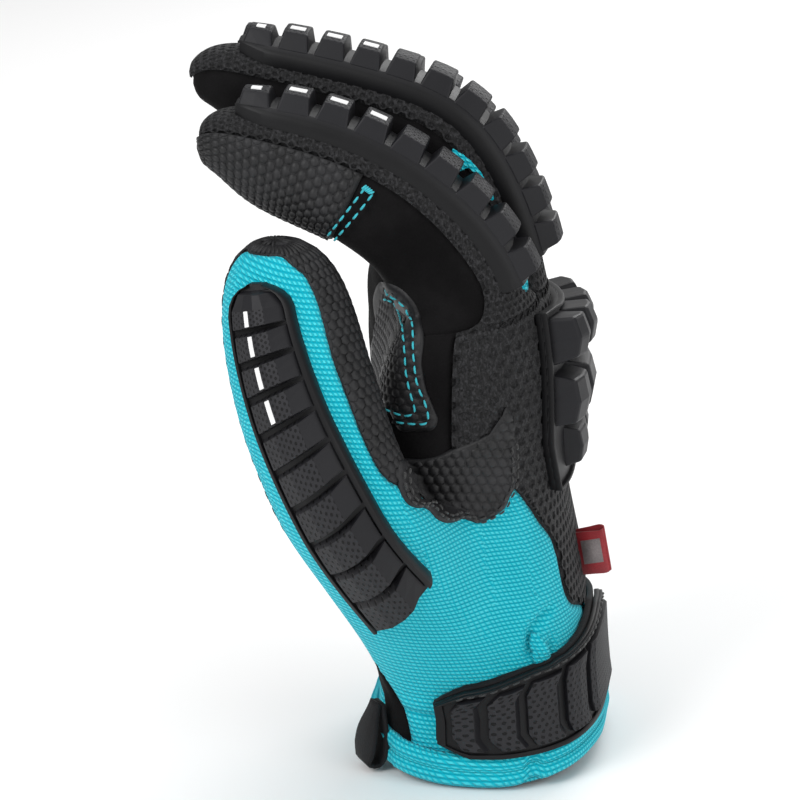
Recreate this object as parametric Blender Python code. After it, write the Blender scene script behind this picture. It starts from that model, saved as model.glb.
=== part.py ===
"""Impact work glove for the right hand, shown as worn, with curled fingers and the palm towards -X.

Metres, +Z up from the cuff's mouth to the knuckles. +X is the back of the hand, -Y the thumb's side.
The hand's outside is one cage of rings: palm rings from the mouth to the finger roots, then a tube
for each finger and one for the thumb. Every sewn panel and every patch is a layer taken from it.
"""

import math

import bmesh
import bpy
from mathutils import Vector
from mathutils.bvhtree import BVHTree

# Hand, outside sizes
HAND_LENGTH = 0.123
PALM_WIDTH = 0.094
PALM_DEPTH = 0.050
PALM_ARCH = 0.0115
PALM_CUP = 0.007
FINGER_LENGTH = 0.127
FINGER_WIDTH = 0.0206
FINGER_DEPTH = 0.0255
FINGER_SPLAY = 0.0035
FINGER_DROP = 0.0076
THUMB_WIDTH = 0.0350
THUMB_DEPTH = 0.030
THUMB_REACH = 0.101

# Layers
WALL = 0.0018
SEAM_GAP = 0.0003
TUCK = 0.0016
PATCH = 0.0010
PATCH_GAP = 0.0005
HEM = 0.0016

# Moulded guards
GUARD_WIDTH = 0.0165
GUARD_GAP = 0.00045
GUARD_PLATE = 0.0022
GUARD_EDGE = 0.0030
GUARD_START = 0.075
TOOTH_HEIGHT = 0.0042
TOOTH_SHARE = 0.84
TOOTH_DRAFT = 0.0010
GROOVE_FLOOR = 0.0002
RIM_ACROSS = 0.80
TOP_ACROSS = 0.60
SEAT_ACROSS = 0.47
SEATS = (-1, -SEAT_ACROSS, SEAT_ACROSS, 1)
THUMB_GUARD_WIDTH = 0.0215
THUMB_GUARD_ENDS = (0.100, 0.920)
THUMB_GUARD_SKEW = 0.055
THUMB_TOOTH_HEIGHT = 0.0032
THUMB_TEETH = 10
KNUCKLE_PLATE = 0.0022
KNUCKLE_BLOCK = 0.0078
KNUCKLE_LEAN = 0.0014
KNUCKLE_SLOPE = 0.060
STRAP = 0.0016
STRAP_PAD = 0.0016
STRAP_BLOCK = 0.0030

# Small cloth pieces
TAB_WIDTH = 0.014
TAB_LENGTH = 0.019
TAB_THICKNESS = 0.0016
TAB_LEAN = 16
TAG_WIDTH = 0.0115
TAG_LENGTH = 0.0075
TAG_THICKNESS = 0.0010

# Palm sections: height along the hand, back and front of the section in palm depths, width in
# palm widths, and the section's heading in degrees, where 90 faces straight up.
PALM_SECTIONS = [
    {"height": 0.000, "back": 0.57, "front": -0.56, "width": 0.80, "heading": 90},
    {"height": 0.045, "back": 0.54, "front": -0.55, "width": 0.78, "heading": 92},
    {"height": 0.150, "back": 0.51, "front": -0.54, "width": 0.75, "heading": 96},
    {"height": 0.240, "back": 0.50, "front": -0.58, "width": 0.76, "heading": 96},
    {"height": 0.335, "back": 0.49, "front": -0.65, "width": 0.79, "heading": 94},
    {"height": 0.430, "back": 0.45, "front": -0.67, "width": 0.84, "heading": 92},
    {"height": 0.520, "back": 0.41, "front": -0.65, "width": 0.89, "heading": 90},
    {"height": 0.610, "back": 0.38, "front": -0.64, "width": 0.94, "heading": 90},
    {"height": 0.700, "back": 0.37, "front": -0.62, "width": 0.97, "heading": 91},
    {"height": 0.790, "back": 0.37, "front": -0.60, "width": 0.99, "heading": 93},
    {"height": 0.870, "back": 0.36, "front": -0.57, "width": 1.00, "heading": 95},
    {"height": 0.940, "back": 0.34, "front": -0.52, "width": 1.00, "heading": 96},
    {"height": 1.000, "back": 0.31, "front": -0.46, "width": 0.99, "heading": 98},
]
SECTION_POWER = 2.6
KNUCKLE_POWER = 3.4
ARCH_CREST = -0.42

# Fingers: length in finger lengths, and the back line's heading in degrees at the turn shares.
TURN_SHARES = (0.0, 0.3, 0.5, 0.85, 1.0)
FINGERS = [
    {"name": "index", "length": 0.82, "turns": (102, 136, 151, 177, 190), "teeth": 9, "guard_end": 0.893},
    {"name": "middle", "length": 0.98, "turns": (97, 120, 163, 174, 202), "teeth": 11, "guard_end": 0.868},
    {"name": "ring", "length": 0.93, "turns": (98, 126, 163, 175, 205), "teeth": 10, "guard_end": 0.880},
    {"name": "little", "length": 0.72, "turns": (96, 134, 165, 183, 203), "teeth": 8, "guard_end": 0.905},
]
FINGER_SECTIONS = [
    {"share": 0.080, "depth": 1.06, "width": 0.97},
    {"share": 0.165, "depth": 1.16, "width": 1.00},
    {"share": 0.250, "depth": 1.16, "width": 1.00},
    {"share": 0.340, "depth": 1.10, "width": 0.99},
    {"share": 0.420, "depth": 1.06, "width": 0.97},
    {"share": 0.500, "depth": 1.03, "width": 0.95},
    {"share": 0.600, "depth": 1.03, "width": 0.94},
    {"share": 0.700, "depth": 1.00, "width": 0.92},
    {"share": 0.800, "depth": 0.93, "width": 0.89},
    {"share": 0.880, "depth": 0.79, "width": 0.82},
    {"share": 0.940, "depth": 0.56, "width": 0.68},
    {"share": 0.985, "depth": 0.34, "width": 0.46},
]
FINGER_POWER = 2.8
THUMB_SECTIONS = [
    {"share": 0.24, "depth": 0.84, "width": 1.16},
    {"share": 0.34, "depth": 0.84, "width": 1.12},
    {"share": 0.44, "depth": 0.90, "width": 1.06},
    {"share": 0.55, "depth": 1.00, "width": 1.03},
    {"share": 0.66, "depth": 1.00, "width": 1.00},
    {"share": 0.76, "depth": 0.97, "width": 0.97},
    {"share": 0.85, "depth": 0.89, "width": 0.90},
    {"share": 0.92, "depth": 0.74, "width": 0.77},
    {"share": 0.97, "depth": 0.52, "width": 0.55},
    {"share": 0.995, "depth": 0.24, "width": 0.26},
]
THUMB_POWER = 2.3

# The thumb's middle line: where it leaves the palm, in palm depths, palm widths and hand lengths;
# the tip's way from there and the pulls at both ends in thumb reaches; the way that its back faces.
THUMB_ROOT = (-0.290, -0.383, 0.4146)
THUMB_TIP = Vector((-0.3170, -0.1386, 0.9366))
THUMB_ROOT_PULL = Vector((-0.1535, -0.3960, 0.3267))
THUMB_TIP_PULL = Vector((-0.0297, -0.0198, 0.3267))
THUMB_BACK = Vector((-0.50, -0.86, -0.05))
THUMB_GUARD_BACK = Vector((-0.28, -0.96, -0.05))
THUMB_GUARD_ROOT_BACK = Vector((0.16, -0.98, -0.05))

# Columns round the palm: 13 across the back, 2 at the little finger's side, 13 back across the
# front, 2 at the thumb's side.
ACROSS = 12
OUTER_SHARE = 0.90
SIDE_SHARE = 0.985
PER_FINGER = ACROSS // len(FINGERS)
COLUMNS = 2 * (ACROSS + 1) + 4
BACK_COLUMNS = list(range(ACROSS + 1))
FRONT_COLUMNS = [COLUMNS - 3 - k for k in range(ACROSS + 1)]
THUMB_SIDE = (COLUMNS - 1, COLUMNS - 2)
LITTLE_SIDE = (ACROSS + 1, ACROSS + 2)
THUMB_RING = 16
THUMB_HOLE_ROWS = (3, 7)
THUMB_HOLE_COLUMNS = (COLUMNS - 5, COLUMNS - 1)

# The part of the guards' width that is left near the tips
GUARD_TAPER = [
    {"share": 0.34, "width": 0.99},
    {"share": 0.50, "width": 0.95},
    {"share": 0.70, "width": 0.92},
    {"share": 0.80, "width": 0.88},
    {"share": 0.88, "width": 0.74},
    {"share": 0.91, "width": 0.56},
]
THUMB_GUARD_TAPER = [
    {"share": 0.00, "width": 1.10},
    {"share": 0.35, "width": 1.02},
    {"share": 0.70, "width": 0.86},
    {"share": 0.86, "width": 0.78},
    {"share": 0.90, "width": 0.64},
    {"share": 0.93, "width": 0.42},
]

# Cells where the knitted side meets the mesh back: below the stair is knit, each step cut corner to
# corner. Rows of the palm, for the column at each side of the hand.
MESH_STEPS = [
    {"thumb": 0, "little": ACROSS - 1, "row": 6},
    {"thumb": 1, "little": ACROSS - 2, "row": 5},
    {"thumb": 2, "little": ACROSS - 3, "row": 4},
]
CUFF_ROWS = 2
KNIT_ROWS = 4

# Knuckle guard: places across the back in columns, heights in hand lengths, raised share of the block
KNUCKLE_ACROSS = (
    1.75, 2.00, 3.35, 3.60, 3.95, 4.20, 5.55, 5.80, 6.20, 6.45, 7.80, 8.05, 8.40, 8.65, 10.00, 10.25,
)
KNUCKLE_UP = (0.615, 0.640, 0.655, 0.715, 0.730, 0.752, 0.770, 0.840, 0.858, 0.878, 0.900, 0.955, 0.985)
KNUCKLE_BLOCKS = [
    {"left": 2, "right": 7, "low": 1, "high": 4, "raise": 0.62},
    {"left": 8, "right": 13, "low": 1, "high": 4, "raise": 0.62},
    {"left": 0, "right": 15, "low": 5, "high": 8, "raise": 0.92},
    {"left": 0, "right": 3, "low": 9, "high": 12, "raise": 1.00},
    {"left": 4, "right": 7, "low": 9, "high": 12, "raise": 1.00},
    {"left": 8, "right": 11, "low": 9, "high": 12, "raise": 1.00},
    {"left": 12, "right": 15, "low": 9, "high": 12, "raise": 1.00},
]

# Wrist strap: columns, thumb's side first, and the lower and upper edge in hand lengths
STRAP_EDGES = [
    {"column": -2.05, "low": 0.102, "high": 0.191},
    {"column": -1.50, "low": 0.061, "high": 0.236},
    {"column": -1.00, "low": 0.059, "high": 0.240},
    {"column": 1.00, "low": 0.063, "high": 0.252},
    {"column": 6.00, "low": 0.081, "high": 0.293},
    {"column": 12.00, "low": 0.073, "high": 0.268},
    {"column": 14.00, "low": 0.065, "high": 0.244},
]
PAD_ENDS = (-1.95, 8.00)
PAD_MARGIN = 0.0008
PAD_BLOCKS = [
    {"start": -1.78, "end": -1.30},
    {"start": -1.16, "end": -0.45},
    {"start": -0.25, "end": 0.85},
    {"start": 1.10, "end": 2.45},
    {"start": 2.90, "end": 7.60},
]
BAND_ENDS = (-2.05, 14.00)

COLOURS = {
    "knit": {"colour": (0.00, 0.46, 0.54), "rough": 0.85},
    "mesh": {"colour": (0.018, 0.018, 0.020), "rough": 0.90},
    "suede": {"colour": (0.014, 0.014, 0.015), "rough": 0.95},
    "leather": {"colour": (0.032, 0.032, 0.035), "rough": 0.60},
    "rubber": {"colour": (0.024, 0.024, 0.028), "rough": 0.45},
    "webbing": {"colour": (0.013, 0.013, 0.014), "rough": 0.80},
    "tag": {"colour": (0.42, 0.01, 0.02), "rough": 0.70},
}


def power_height(share, power):
    """Height of a rounded box's outline above its middle, for a place across it from -1 to 1."""
    return max(0.0, 1.0 - abs(share) ** power) ** (1.0 / power)


def blend_between(table, key, column, value):
    """A column's value at any place along a table, straight between its rows."""
    rows = sorted(table, key=lambda row: row[key])
    if value <= rows[0][key]:
        return rows[0][column]
    for low, high in zip(rows, rows[1:]):
        if value <= high[key]:
            part = (value - low[key]) / (high[key] - low[key])
            return low[column] + part * (high[column] - low[column])
    return rows[-1][column]


def palm_point(section, share, on_back):
    """A point on a palm section, where share runs from -1 at the thumb's side to 1."""
    heading = math.radians(section["heading"])
    middle = (section["back"] + section["front"]) / 2 * PALM_DEPTH
    half = (section["back"] - section["front"]) / 2 * PALM_DEPTH
    grow = section["height"] ** 2
    height = power_height(share, SECTION_POWER + (KNUCKLE_POWER - SECTION_POWER) * grow)
    out = middle + half * height if on_back else middle - half * height
    if not on_back:
        out += PALM_CUP * grow * height * (1 - min(1.0, abs(share + 0.25)) ** 2)
    out -= PALM_ARCH * grow * (share - ARCH_CREST) ** 2
    return Vector((
        out * math.sin(heading),
        share * section["width"] * PALM_WIDTH / 2,
        section["height"] * HAND_LENGTH - out * math.cos(heading),
    ))


def palm_ring(section):
    """The 30 points of one palm section, in column order."""
    shares = [OUTER_SHARE * (2 * k / ACROSS - 1) for k in range(ACROSS + 1)]
    ring = [palm_point(section, share, True) for share in shares]
    ring += [palm_point(section, SIDE_SHARE, True), palm_point(section, SIDE_SHARE, False)]
    ring += [palm_point(section, share, False) for share in reversed(shares)]
    ring += [palm_point(section, -SIDE_SHARE, False), palm_point(section, -SIDE_SHARE, True)]
    return ring


def finger_share(number):
    """Where a finger's middle lies across the palm, from -1 to 1."""
    return OUTER_SHARE * ((2 * number + 1) / len(FINGERS) - 1)


def heading_at(turns, share):
    for (low, start), (high, end) in zip(zip(TURN_SHARES, turns), list(zip(TURN_SHARES, turns))[1:]):
        if share <= high:
            return math.radians(start + (end - start) * (share - low) / (high - low))
    return math.radians(turns[-1])


def finger_frame(number, share, steps=60):
    """The back line of a finger at a share of its length: point, direction, and outward normal."""
    finger = FINGERS[number]
    across = finger_share(number)
    point = palm_point(PALM_SECTIONS[-1], across, True)
    length = finger["length"] * FINGER_LENGTH
    for step in range(steps):
        heading = heading_at(finger["turns"], share * (step + 0.5) / steps)
        point = point + Vector((math.cos(heading), 0, math.sin(heading))) * length * share / steps
    point.y += across * FINGER_SPLAY * share * 2
    heading = heading_at(finger["turns"], share)
    forward = Vector((math.cos(heading), 0, math.sin(heading)))
    return point, forward, Vector((math.sin(heading), 0, -math.cos(heading)))


def finger_size(share):
    """Half width and half depth of a finger at a share of its length."""
    width = blend_between(FINGER_SECTIONS, "share", "width", share) * FINGER_WIDTH / 2
    depth = blend_between(FINGER_SECTIONS, "share", "depth", share) * FINGER_DEPTH / 2
    return width, depth


def rounded(angle, power):
    """Sideways and outward shares of a rounded box's outline at an angle in degrees."""
    c = math.cos(math.radians(angle))
    s = math.sin(math.radians(angle))
    return (
        math.copysign(abs(c) ** (2 / power), c),
        math.copysign(abs(s) ** (2 / power), s),
    )


def finger_ring(number, share):
    """12 points of a finger section: 4 over the back, 2 at a side, 4 under the front, 2 at a side."""
    point, _, normal = finger_frame(number, share)
    width, depth = finger_size(share)
    centre = point - normal * max(depth, FINGER_DROP)
    side = Vector((0, 1, 0))
    ring = []
    for k in range(4 * PER_FINGER):
        sideways, out = rounded(135 - 30 * k, FINGER_POWER)
        ring.append(centre + side * width * sideways + normal * depth * out)
    return ring


def thumb_frame(share, back=THUMB_BACK):
    """The thumb's middle line, a cubic curve: point, direction, outward normal, sideways."""
    root = Vector((
        THUMB_ROOT[0] * PALM_DEPTH, THUMB_ROOT[1] * PALM_WIDTH, THUMB_ROOT[2] * HAND_LENGTH,
    ))
    tip = root + THUMB_TIP * THUMB_REACH
    ends = (root, root + THUMB_ROOT_PULL * THUMB_REACH, tip - THUMB_TIP_PULL * THUMB_REACH, tip)
    rest = 1 - share
    point = (
        ends[0] * rest**3
        + ends[1] * 3 * rest**2 * share
        + ends[2] * 3 * rest * share**2
        + ends[3] * share**3
    )
    forward = (
        (ends[1] - ends[0]) * rest**2
        + (ends[2] - ends[1]) * 2 * rest * share
        + (ends[3] - ends[2]) * share**2
    ).normalized()
    normal = (back - forward * back.dot(forward)).normalized()
    return point, forward, normal, forward.cross(normal)


def thumb_size(share):
    """Half width and half depth of the thumb at a share of its length."""
    width = blend_between(THUMB_SECTIONS, "share", "width", share) * THUMB_WIDTH / 2
    depth = blend_between(THUMB_SECTIONS, "share", "depth", share) * THUMB_DEPTH / 2
    return width, depth


def thumb_ring(share):
    point, _, normal, side = thumb_frame(share)
    width, depth = thumb_size(share)
    ring = []
    for k in range(THUMB_RING):
        sideways, out = rounded(90 - 360 * (k + 0.5) / THUMB_RING, THUMB_POWER)
        ring.append(point + side * width * sideways + normal * depth * out)
    return ring


class Cage:
    """The hand's outside as points and labelled faces, each face named by tube, row and column."""

    def __init__(self):
        self.points = []
        self.faces = {}
        self.rings = []
        self.normals = {}
        self.around = {}
        self.tree = None

    def rise(self, k):
        """How far the faces round a point rise from each other on average, as they do in a crotch."""
        looks = []
        for face in self.around[k]:
            points = [self.points[j] for j in face]
            centre = sum(points, Vector()) / len(points)
            looks.append((face_normal(points).normalized(), (centre - self.points[k]).normalized()))
        rises = [a[0].dot(b[1]) for a in looks for b in looks if a is not b]
        return sum(rises) / len(rises)

    def add(self, points):
        first = len(self.points)
        self.points += points
        return list(range(first, first + len(points)))

    def tube(self, name, rings):
        for row, (low, high) in enumerate(zip(rings, rings[1:])):
            count = len(low)
            for column in range(count):
                after = (column + 1) % count
                self.faces[name, row, column] = (low[column], low[after], high[after], high[column])

    def cap(self, name, ring, row):
        tip = self.add([sum((self.points[k] for k in ring), Vector()) / len(ring)])[0]
        for column, start in enumerate(ring):
            self.faces[name, row, column] = (start, ring[(column + 1) % len(ring)], tip)


def thumb_hole(rings):
    """The cells that the thumb's opening takes, and the loop of points round it."""
    (first, last), (left, right) = THUMB_HOLE_ROWS, THUMB_HOLE_COLUMNS
    cells = [("palm", row, column) for row in range(first, last) for column in range(left, right)]
    loop = [rings[first][c] for c in range(left, right)]
    loop += [rings[r][right] for r in range(first, last)]
    loop += [rings[last][c] for c in range(right, left, -1)]
    loop += [rings[r][left] for r in range(last, first, -1)]
    return cells, loop


def turned_to_match(cage, loop, ring):
    """The loop started where it lies nearest, point by point, to the thumb's first ring."""
    def distance(turned):
        return sum((cage.points[a] - b).length_squared for a, b in zip(turned, ring))

    choices = [loop[k:] + loop[:k] for k in range(len(loop))]
    backwards = loop[::-1]
    choices += [backwards[k:] + backwards[:k] for k in range(len(loop))]
    return min(choices, key=distance)


def build_cage():
    cage = Cage()
    rings = [cage.add(palm_ring(section)) for section in PALM_SECTIONS]
    cage.rings = rings
    cage.tube("palm", rings)
    cells, loop = thumb_hole(rings)
    for cell in cells:
        del cage.faces[cell]
    roots = rings[-1]
    webs = [[roots[k] for k in THUMB_SIDE]]
    for number in range(1, len(FINGERS)):
        back = cage.points[roots[BACK_COLUMNS[PER_FINGER * number]]]
        front = cage.points[roots[FRONT_COLUMNS[PER_FINGER * number]]]
        webs.append(cage.add([back.lerp(front, 1 / 3), back.lerp(front, 2 / 3)]))
    webs.append([roots[k] for k in LITTLE_SIDE])
    for number, finger in enumerate(FINGERS):
        columns = range(PER_FINGER * number, PER_FINGER * (number + 1) + 1)
        root = [roots[BACK_COLUMNS[k]] for k in columns] + webs[number + 1]
        root += [roots[FRONT_COLUMNS[k]] for k in reversed(columns)] + webs[number][::-1]
        tube = [root] + [cage.add(finger_ring(number, row["share"])) for row in FINGER_SECTIONS]
        cage.tube(finger["name"], tube)
        cage.cap(finger["name"], tube[-1], len(tube) - 1)
    first = thumb_ring(THUMB_SECTIONS[0]["share"])
    tube = [turned_to_match(cage, loop, first)]
    tube += [cage.add(thumb_ring(row["share"])) for row in THUMB_SECTIONS]
    cage.tube("thumb", tube)
    cage.cap("thumb", tube[-1], len(tube) - 1)
    faces = list(cage.faces.values())
    cage.normals = normals_of(cage.points, faces)
    cage.tree = BVHTree.FromPolygons(cage.points, faces)
    for face in faces:
        for k in face:
            cage.around.setdefault(k, []).append(face)
    return cage


def face_normal(points):
    total = Vector()
    for a, b in zip(points, points[1:] + points[:1]):
        total += a.cross(b)
    return total


def normals_of(points, faces):
    """Outward directions at the points that the faces use, by area."""
    total = {}
    for face in faces:
        normal = face_normal([points[k] for k in face])
        for k in face:
            total[k] = total.get(k, Vector()) + normal
    return {k: normal.normalized() for k, normal in total.items()}


def split_cell(face, from_corner):
    """A four-sided face cut corner to corner, and the two triangles."""
    f = face[from_corner:] + face[:from_corner]
    return (f[0], f[1], f[2]), (f[0], f[2], f[3])


class Solid:
    """Points and faces of one closed body."""

    def __init__(self):
        self.points = []
        self.faces = []

    def add(self, point):
        self.points.append(Vector(point))
        return len(self.points) - 1

    def link(self, name, finish):
        mesh = bpy.data.meshes.new(name)
        mesh.from_pydata([tuple(p) for p in self.points], [], self.faces)
        work = bmesh.new()
        work.from_mesh(mesh)
        bmesh.ops.recalc_face_normals(work, faces=work.faces)
        if work.calc_volume(signed=True) < 0:
            bmesh.ops.reverse_faces(work, faces=work.faces)
        bmesh.ops.triangulate(work, faces=work.faces, quad_method="BEAUTY")
        work.to_mesh(mesh)
        work.free()
        item = bpy.data.objects.new(name, mesh)
        mesh.materials.append(painted(name + "_" + finish, COLOURS[finish]))
        bpy.context.scene.collection.objects.link(item)
        return item


def painted(name, look):
    material = bpy.data.materials.new(name)
    material.use_nodes = True
    shader = material.node_tree.nodes["Principled BSDF"]
    shader.inputs["Base Color"].default_value = (*look["colour"], 1.0)
    shader.inputs["Roughness"].default_value = look["rough"]
    material.diffuse_color = (*look["colour"], 1.0)
    return material


def layer(cage, faces, lower, upper, wanted=SEAM_GAP * 0.6):
    """Cells of the cage as a sheet between two heights over it, drawn in a little at its own edge."""
    solid = Solid()
    own = normals_of(cage.points, faces)
    edges = {(a, b): face for face in faces for a, b in zip(face, face[1:] + face[:1])}
    border = {edge: face for edge, face in edges.items() if edge[::-1] not in edges}
    drawn, away = {}, {}
    for (a, b), face in border.items():
        normal = face_normal([cage.points[k] for k in face]).normalized()
        run = (cage.points[b] - cage.points[a]).normalized()
        for k, along in ((a, run), (b, -run)):
            drawn.setdefault(k, []).append(normal.cross(run))
            away[k] = away.get(k, Vector()) - along
    webs = {k for k in drawn if own[k].dot(cage.normals[k]) < 0.5}
    places = {}
    for k, own_normal in own.items():
        shared = cage.normals[k]
        turned = own_normal.dot(shared) < 0.5
        folded = turned or (lower < 0 and cage.rise(k) > 0.06)
        normal = own_normal if k in drawn and folded else shared
        point = cage.points[k].copy()
        if k in drawn:
            mean = sum(drawn[k], Vector()) / len(drawn[k])
            beside = [j for edge in border if k in edge for j in edge if j != k]
            inset = min(wanted, 0.22 * min((cage.points[j] - point).length for j in beside))
            ends_web = any(j not in webs for j in beside) and any(j in webs for j in beside)
            if k in webs and ends_web and mean.length < 0.85:
                under = next(j for j in beside if j in webs)
                point += (cage.points[under] - point).normalized() * (WALL + 2 * inset)
            elif mean.length < 0.55:
                turn = 1 if away[k].dot(mean) > 0 else -1
                point += away[k].normalized() * turn * inset * 2.2
            else:
                point += mean * inset / max(0.35, mean.length_squared)
        places[k] = (solid.add(point + normal * lower), solid.add(point + normal * upper))
    for face in faces:
        solid.faces.append([places[k][1] for k in face])
        solid.faces.append([places[k][0] for k in reversed(face)])
    for a, b in border:
        solid.faces.append([places[a][0], places[b][0], places[b][1], places[a][1]])
    return solid


def grid_body(lower, upper):
    """A closed body between two grids of points, rows by columns."""
    solid = Solid()
    low = [[solid.add(point) for point in row] for row in lower]
    top = [[solid.add(point) for point in row] for row in upper]
    rows, columns = len(low), len(low[0])
    for r in range(rows - 1):
        for c in range(columns - 1):
            solid.faces.append([top[r][c], top[r][c + 1], top[r + 1][c + 1], top[r + 1][c]])
            solid.faces.append([low[r][c], low[r + 1][c], low[r + 1][c + 1], low[r][c + 1]])
    for r in range(rows - 1):
        solid.faces.append([low[r][0], top[r][0], top[r + 1][0], low[r + 1][0]])
        solid.faces.append([low[r][-1], low[r + 1][-1], top[r + 1][-1], top[r][-1]])
    for c in range(columns - 1):
        solid.faces.append([low[0][c], low[0][c + 1], top[0][c + 1], top[0][c]])
        solid.faces.append([low[-1][c], top[-1][c], top[-1][c + 1], low[-1][c + 1]])
    return solid


def on_hand(cage, column, height):
    """A place on the palm cage's flat facets, by column and height in hand lengths, and its normal."""
    heights = [section["height"] for section in PALM_SECTIONS]
    row = min(max(k for k, h in enumerate(heights) if h <= height), len(heights) - 2)
    up = (height - heights[row]) / (heights[row + 1] - heights[row])
    left = math.floor(column)
    along = column - left
    point, normal = Vector(), Vector()
    for r, c, share in (
        (row, left, (1 - up) * (1 - along)),
        (row, left + 1, (1 - up) * along),
        (row + 1, left, up * (1 - along)),
        (row + 1, left + 1, up * along),
    ):
        index = cage.rings[r][c % COLUMNS]
        point += cage.points[index] * share
        normal += cage.normals[index] * share
    return point, normal.normalized()


def seated(cage, point, normal, reach=0.02):
    """The height of the cage over a point, along a direction."""
    hit = cage.tree.ray_cast(point + normal * reach, -normal, 2 * reach)
    return reach - hit[3] if hit[0] else 0.0


def guard(cage, place, length, ends, teeth, width, taper, tooth_height, skew=0.0):
    """A ribbed strip along a finger: cross-sections at the ends of each tooth, seated on the cage."""
    start, end = ends
    pitch = (end - start) / teeth
    draft = TOOTH_DRAFT / length
    stations = [(start, 0.0)]
    for tooth in range(teeth):
        low = start + pitch * (tooth + (1 - TOOTH_SHARE) / 2)
        high = low + pitch * TOOTH_SHARE
        stations += [(low, 0.0), (low + draft, 1.0), (high - draft, 1.0), (high, 0.0)]
    stations.append((end, 0.0))
    rows = []
    for share, _ in stations:
        half = width / 2 * blend_between(taper, "share", "width", share)
        row = {}
        for across in (-1, -RIM_ACROSS, -TOP_ACROSS, -SEAT_ACROSS, 0, SEAT_ACROSS, TOP_ACROSS, RIM_ACROSS, 1):
            point, _, normal, side = place(share + skew * (1 - share / end) * across)
            point = point + side * half * across
            row[across] = [point, normal, seated(cage, point, normal) + GUARD_GAP]
        rows.append(row)
    lift_clear(cage, rows, SEATS)
    lower, upper = [], []
    for (_, raised), row in zip(stations, rows):
        def at(across, height):
            return row[across][0] + row[across][1] * height

        crown = max(row[x][2] for x in (-SEAT_ACROSS, 0, SEAT_ACROSS)) + GUARD_PLATE
        top = crown + (tooth_height if raised else GROOVE_FLOOR)
        lower.append([at(x, row[x][2]) for x in SEATS])
        edges = [at(x, min(row[x][2] + GUARD_EDGE, crown)) for x in (-1, 1)]
        rims = [at(x, crown - 0.0004) for x in (-RIM_ACROSS, RIM_ACROSS)]
        tops = [at(x, top) for x in (-TOP_ACROSS, TOP_ACROSS)]
        upper.append([edges[0], rims[0], tops[0], tops[1], rims[1], edges[1]])
    return strip_body(lower, upper)


def lift_clear(cage, rows, seats, rounds=6):
    """Raise the underside's points until the flats between them clear the cage too."""
    shares = (0.0, 0.25, 0.5, 0.75, 1.0)
    for _ in range(rounds):
        for low, high in zip(rows, rows[1:]):
            for left, right in zip(seats, seats[1:]):
                corners = (low[left], low[right], high[left], high[right])
                places = [point + normal * height for point, normal, height in corners]
                short = 0.0
                for u in shares:
                    for v in shares:
                        spot = places[0].lerp(places[1], u).lerp(places[2].lerp(places[3], u), v)
                        near, normal, _, distance = cage.tree.find_nearest(spot)
                        clear = distance if (spot - near).dot(normal) > 0 else -distance
                        short = max(short, GUARD_GAP * 0.8 - clear)
                for corner in corners:
                    corner[2] += short * 0.5


def strip_body(lower, upper):
    """Cross-sections joined along their length: each is the lower row and the upper row of points."""
    solid = Solid()
    loops = [[solid.add(p) for p in low + up[::-1]] for low, up in zip(lower, upper)]
    for a, b in zip(loops, loops[1:]):
        for k in range(len(a)):
            after = (k + 1) % len(a)
            solid.faces.append([a[k], a[after], b[after], b[k]])
    solid.faces.append(loops[0][::-1])
    solid.faces.append(loops[-1])
    return solid


def finger_guard(cage, number):
    def place(share):
        point, forward, normal = finger_frame(number, share)
        return point, forward, normal, Vector((0, 1, 0))

    finger = FINGERS[number]
    length = finger["length"] * FINGER_LENGTH
    ends = (GUARD_START, finger["guard_end"])
    return guard(cage, place, length, ends, finger["teeth"], GUARD_WIDTH, GUARD_TAPER, TOOTH_HEIGHT)


def thumb_guard(cage):
    def place(share):
        return thumb_frame(share, THUMB_GUARD_ROOT_BACK.lerp(THUMB_GUARD_BACK, share))

    length = (thumb_frame(1)[0] - thumb_frame(0)[0]).length
    return guard(
        cage, place, length, THUMB_GUARD_ENDS, THUMB_TEETH,
        THUMB_GUARD_WIDTH, THUMB_GUARD_TAPER, THUMB_TOOTH_HEIGHT, THUMB_GUARD_SKEW,
    )


def knuckle_guard(cage):
    lower, upper = [], []
    for r, height in enumerate(KNUCKLE_UP):
        narrow = max(0.0, (KNUCKLE_UP[4] - height) / (KNUCKLE_UP[4] - KNUCKLE_UP[0])) * 0.18
        low_row, top_row = [], []
        for c, column in enumerate(KNUCKLE_ACROSS):
            slope = KNUCKLE_SLOPE * c / (len(KNUCKLE_ACROSS) - 1) * r / (len(KNUCKLE_UP) - 1)
            column = 6 + (column - 6) * (1 - narrow)
            raised = max([0.0] + [
                block["raise"] for block in KNUCKLE_BLOCKS
                if block["left"] < c < block["right"] and block["low"] < r < block["high"]
            ])
            point, normal = on_hand(cage, column, height - slope)
            low_row.append(point + normal * GUARD_GAP)
            top = point + normal * (GUARD_GAP + KNUCKLE_PLATE + KNUCKLE_BLOCK * raised)
            top_row.append(top + Vector((0, 0, KNUCKLE_LEAN if raised == 1.0 else 0.0)))
        lower.append(low_row)
        upper.append(top_row)
    return grid_body(lower, upper)


def strap_columns(ends, marks):
    """Places along the strap: its ends, every facet corner of the cuff between them, and the marks."""
    inner = [k for k in range(math.ceil(ends[0]), math.floor(ends[1]) + 1)]
    places = sorted(set([ends[0], ends[1]] + inner + marks + [-1.5]))
    return [k for k in places if ends[0] <= k <= ends[1]]


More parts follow.
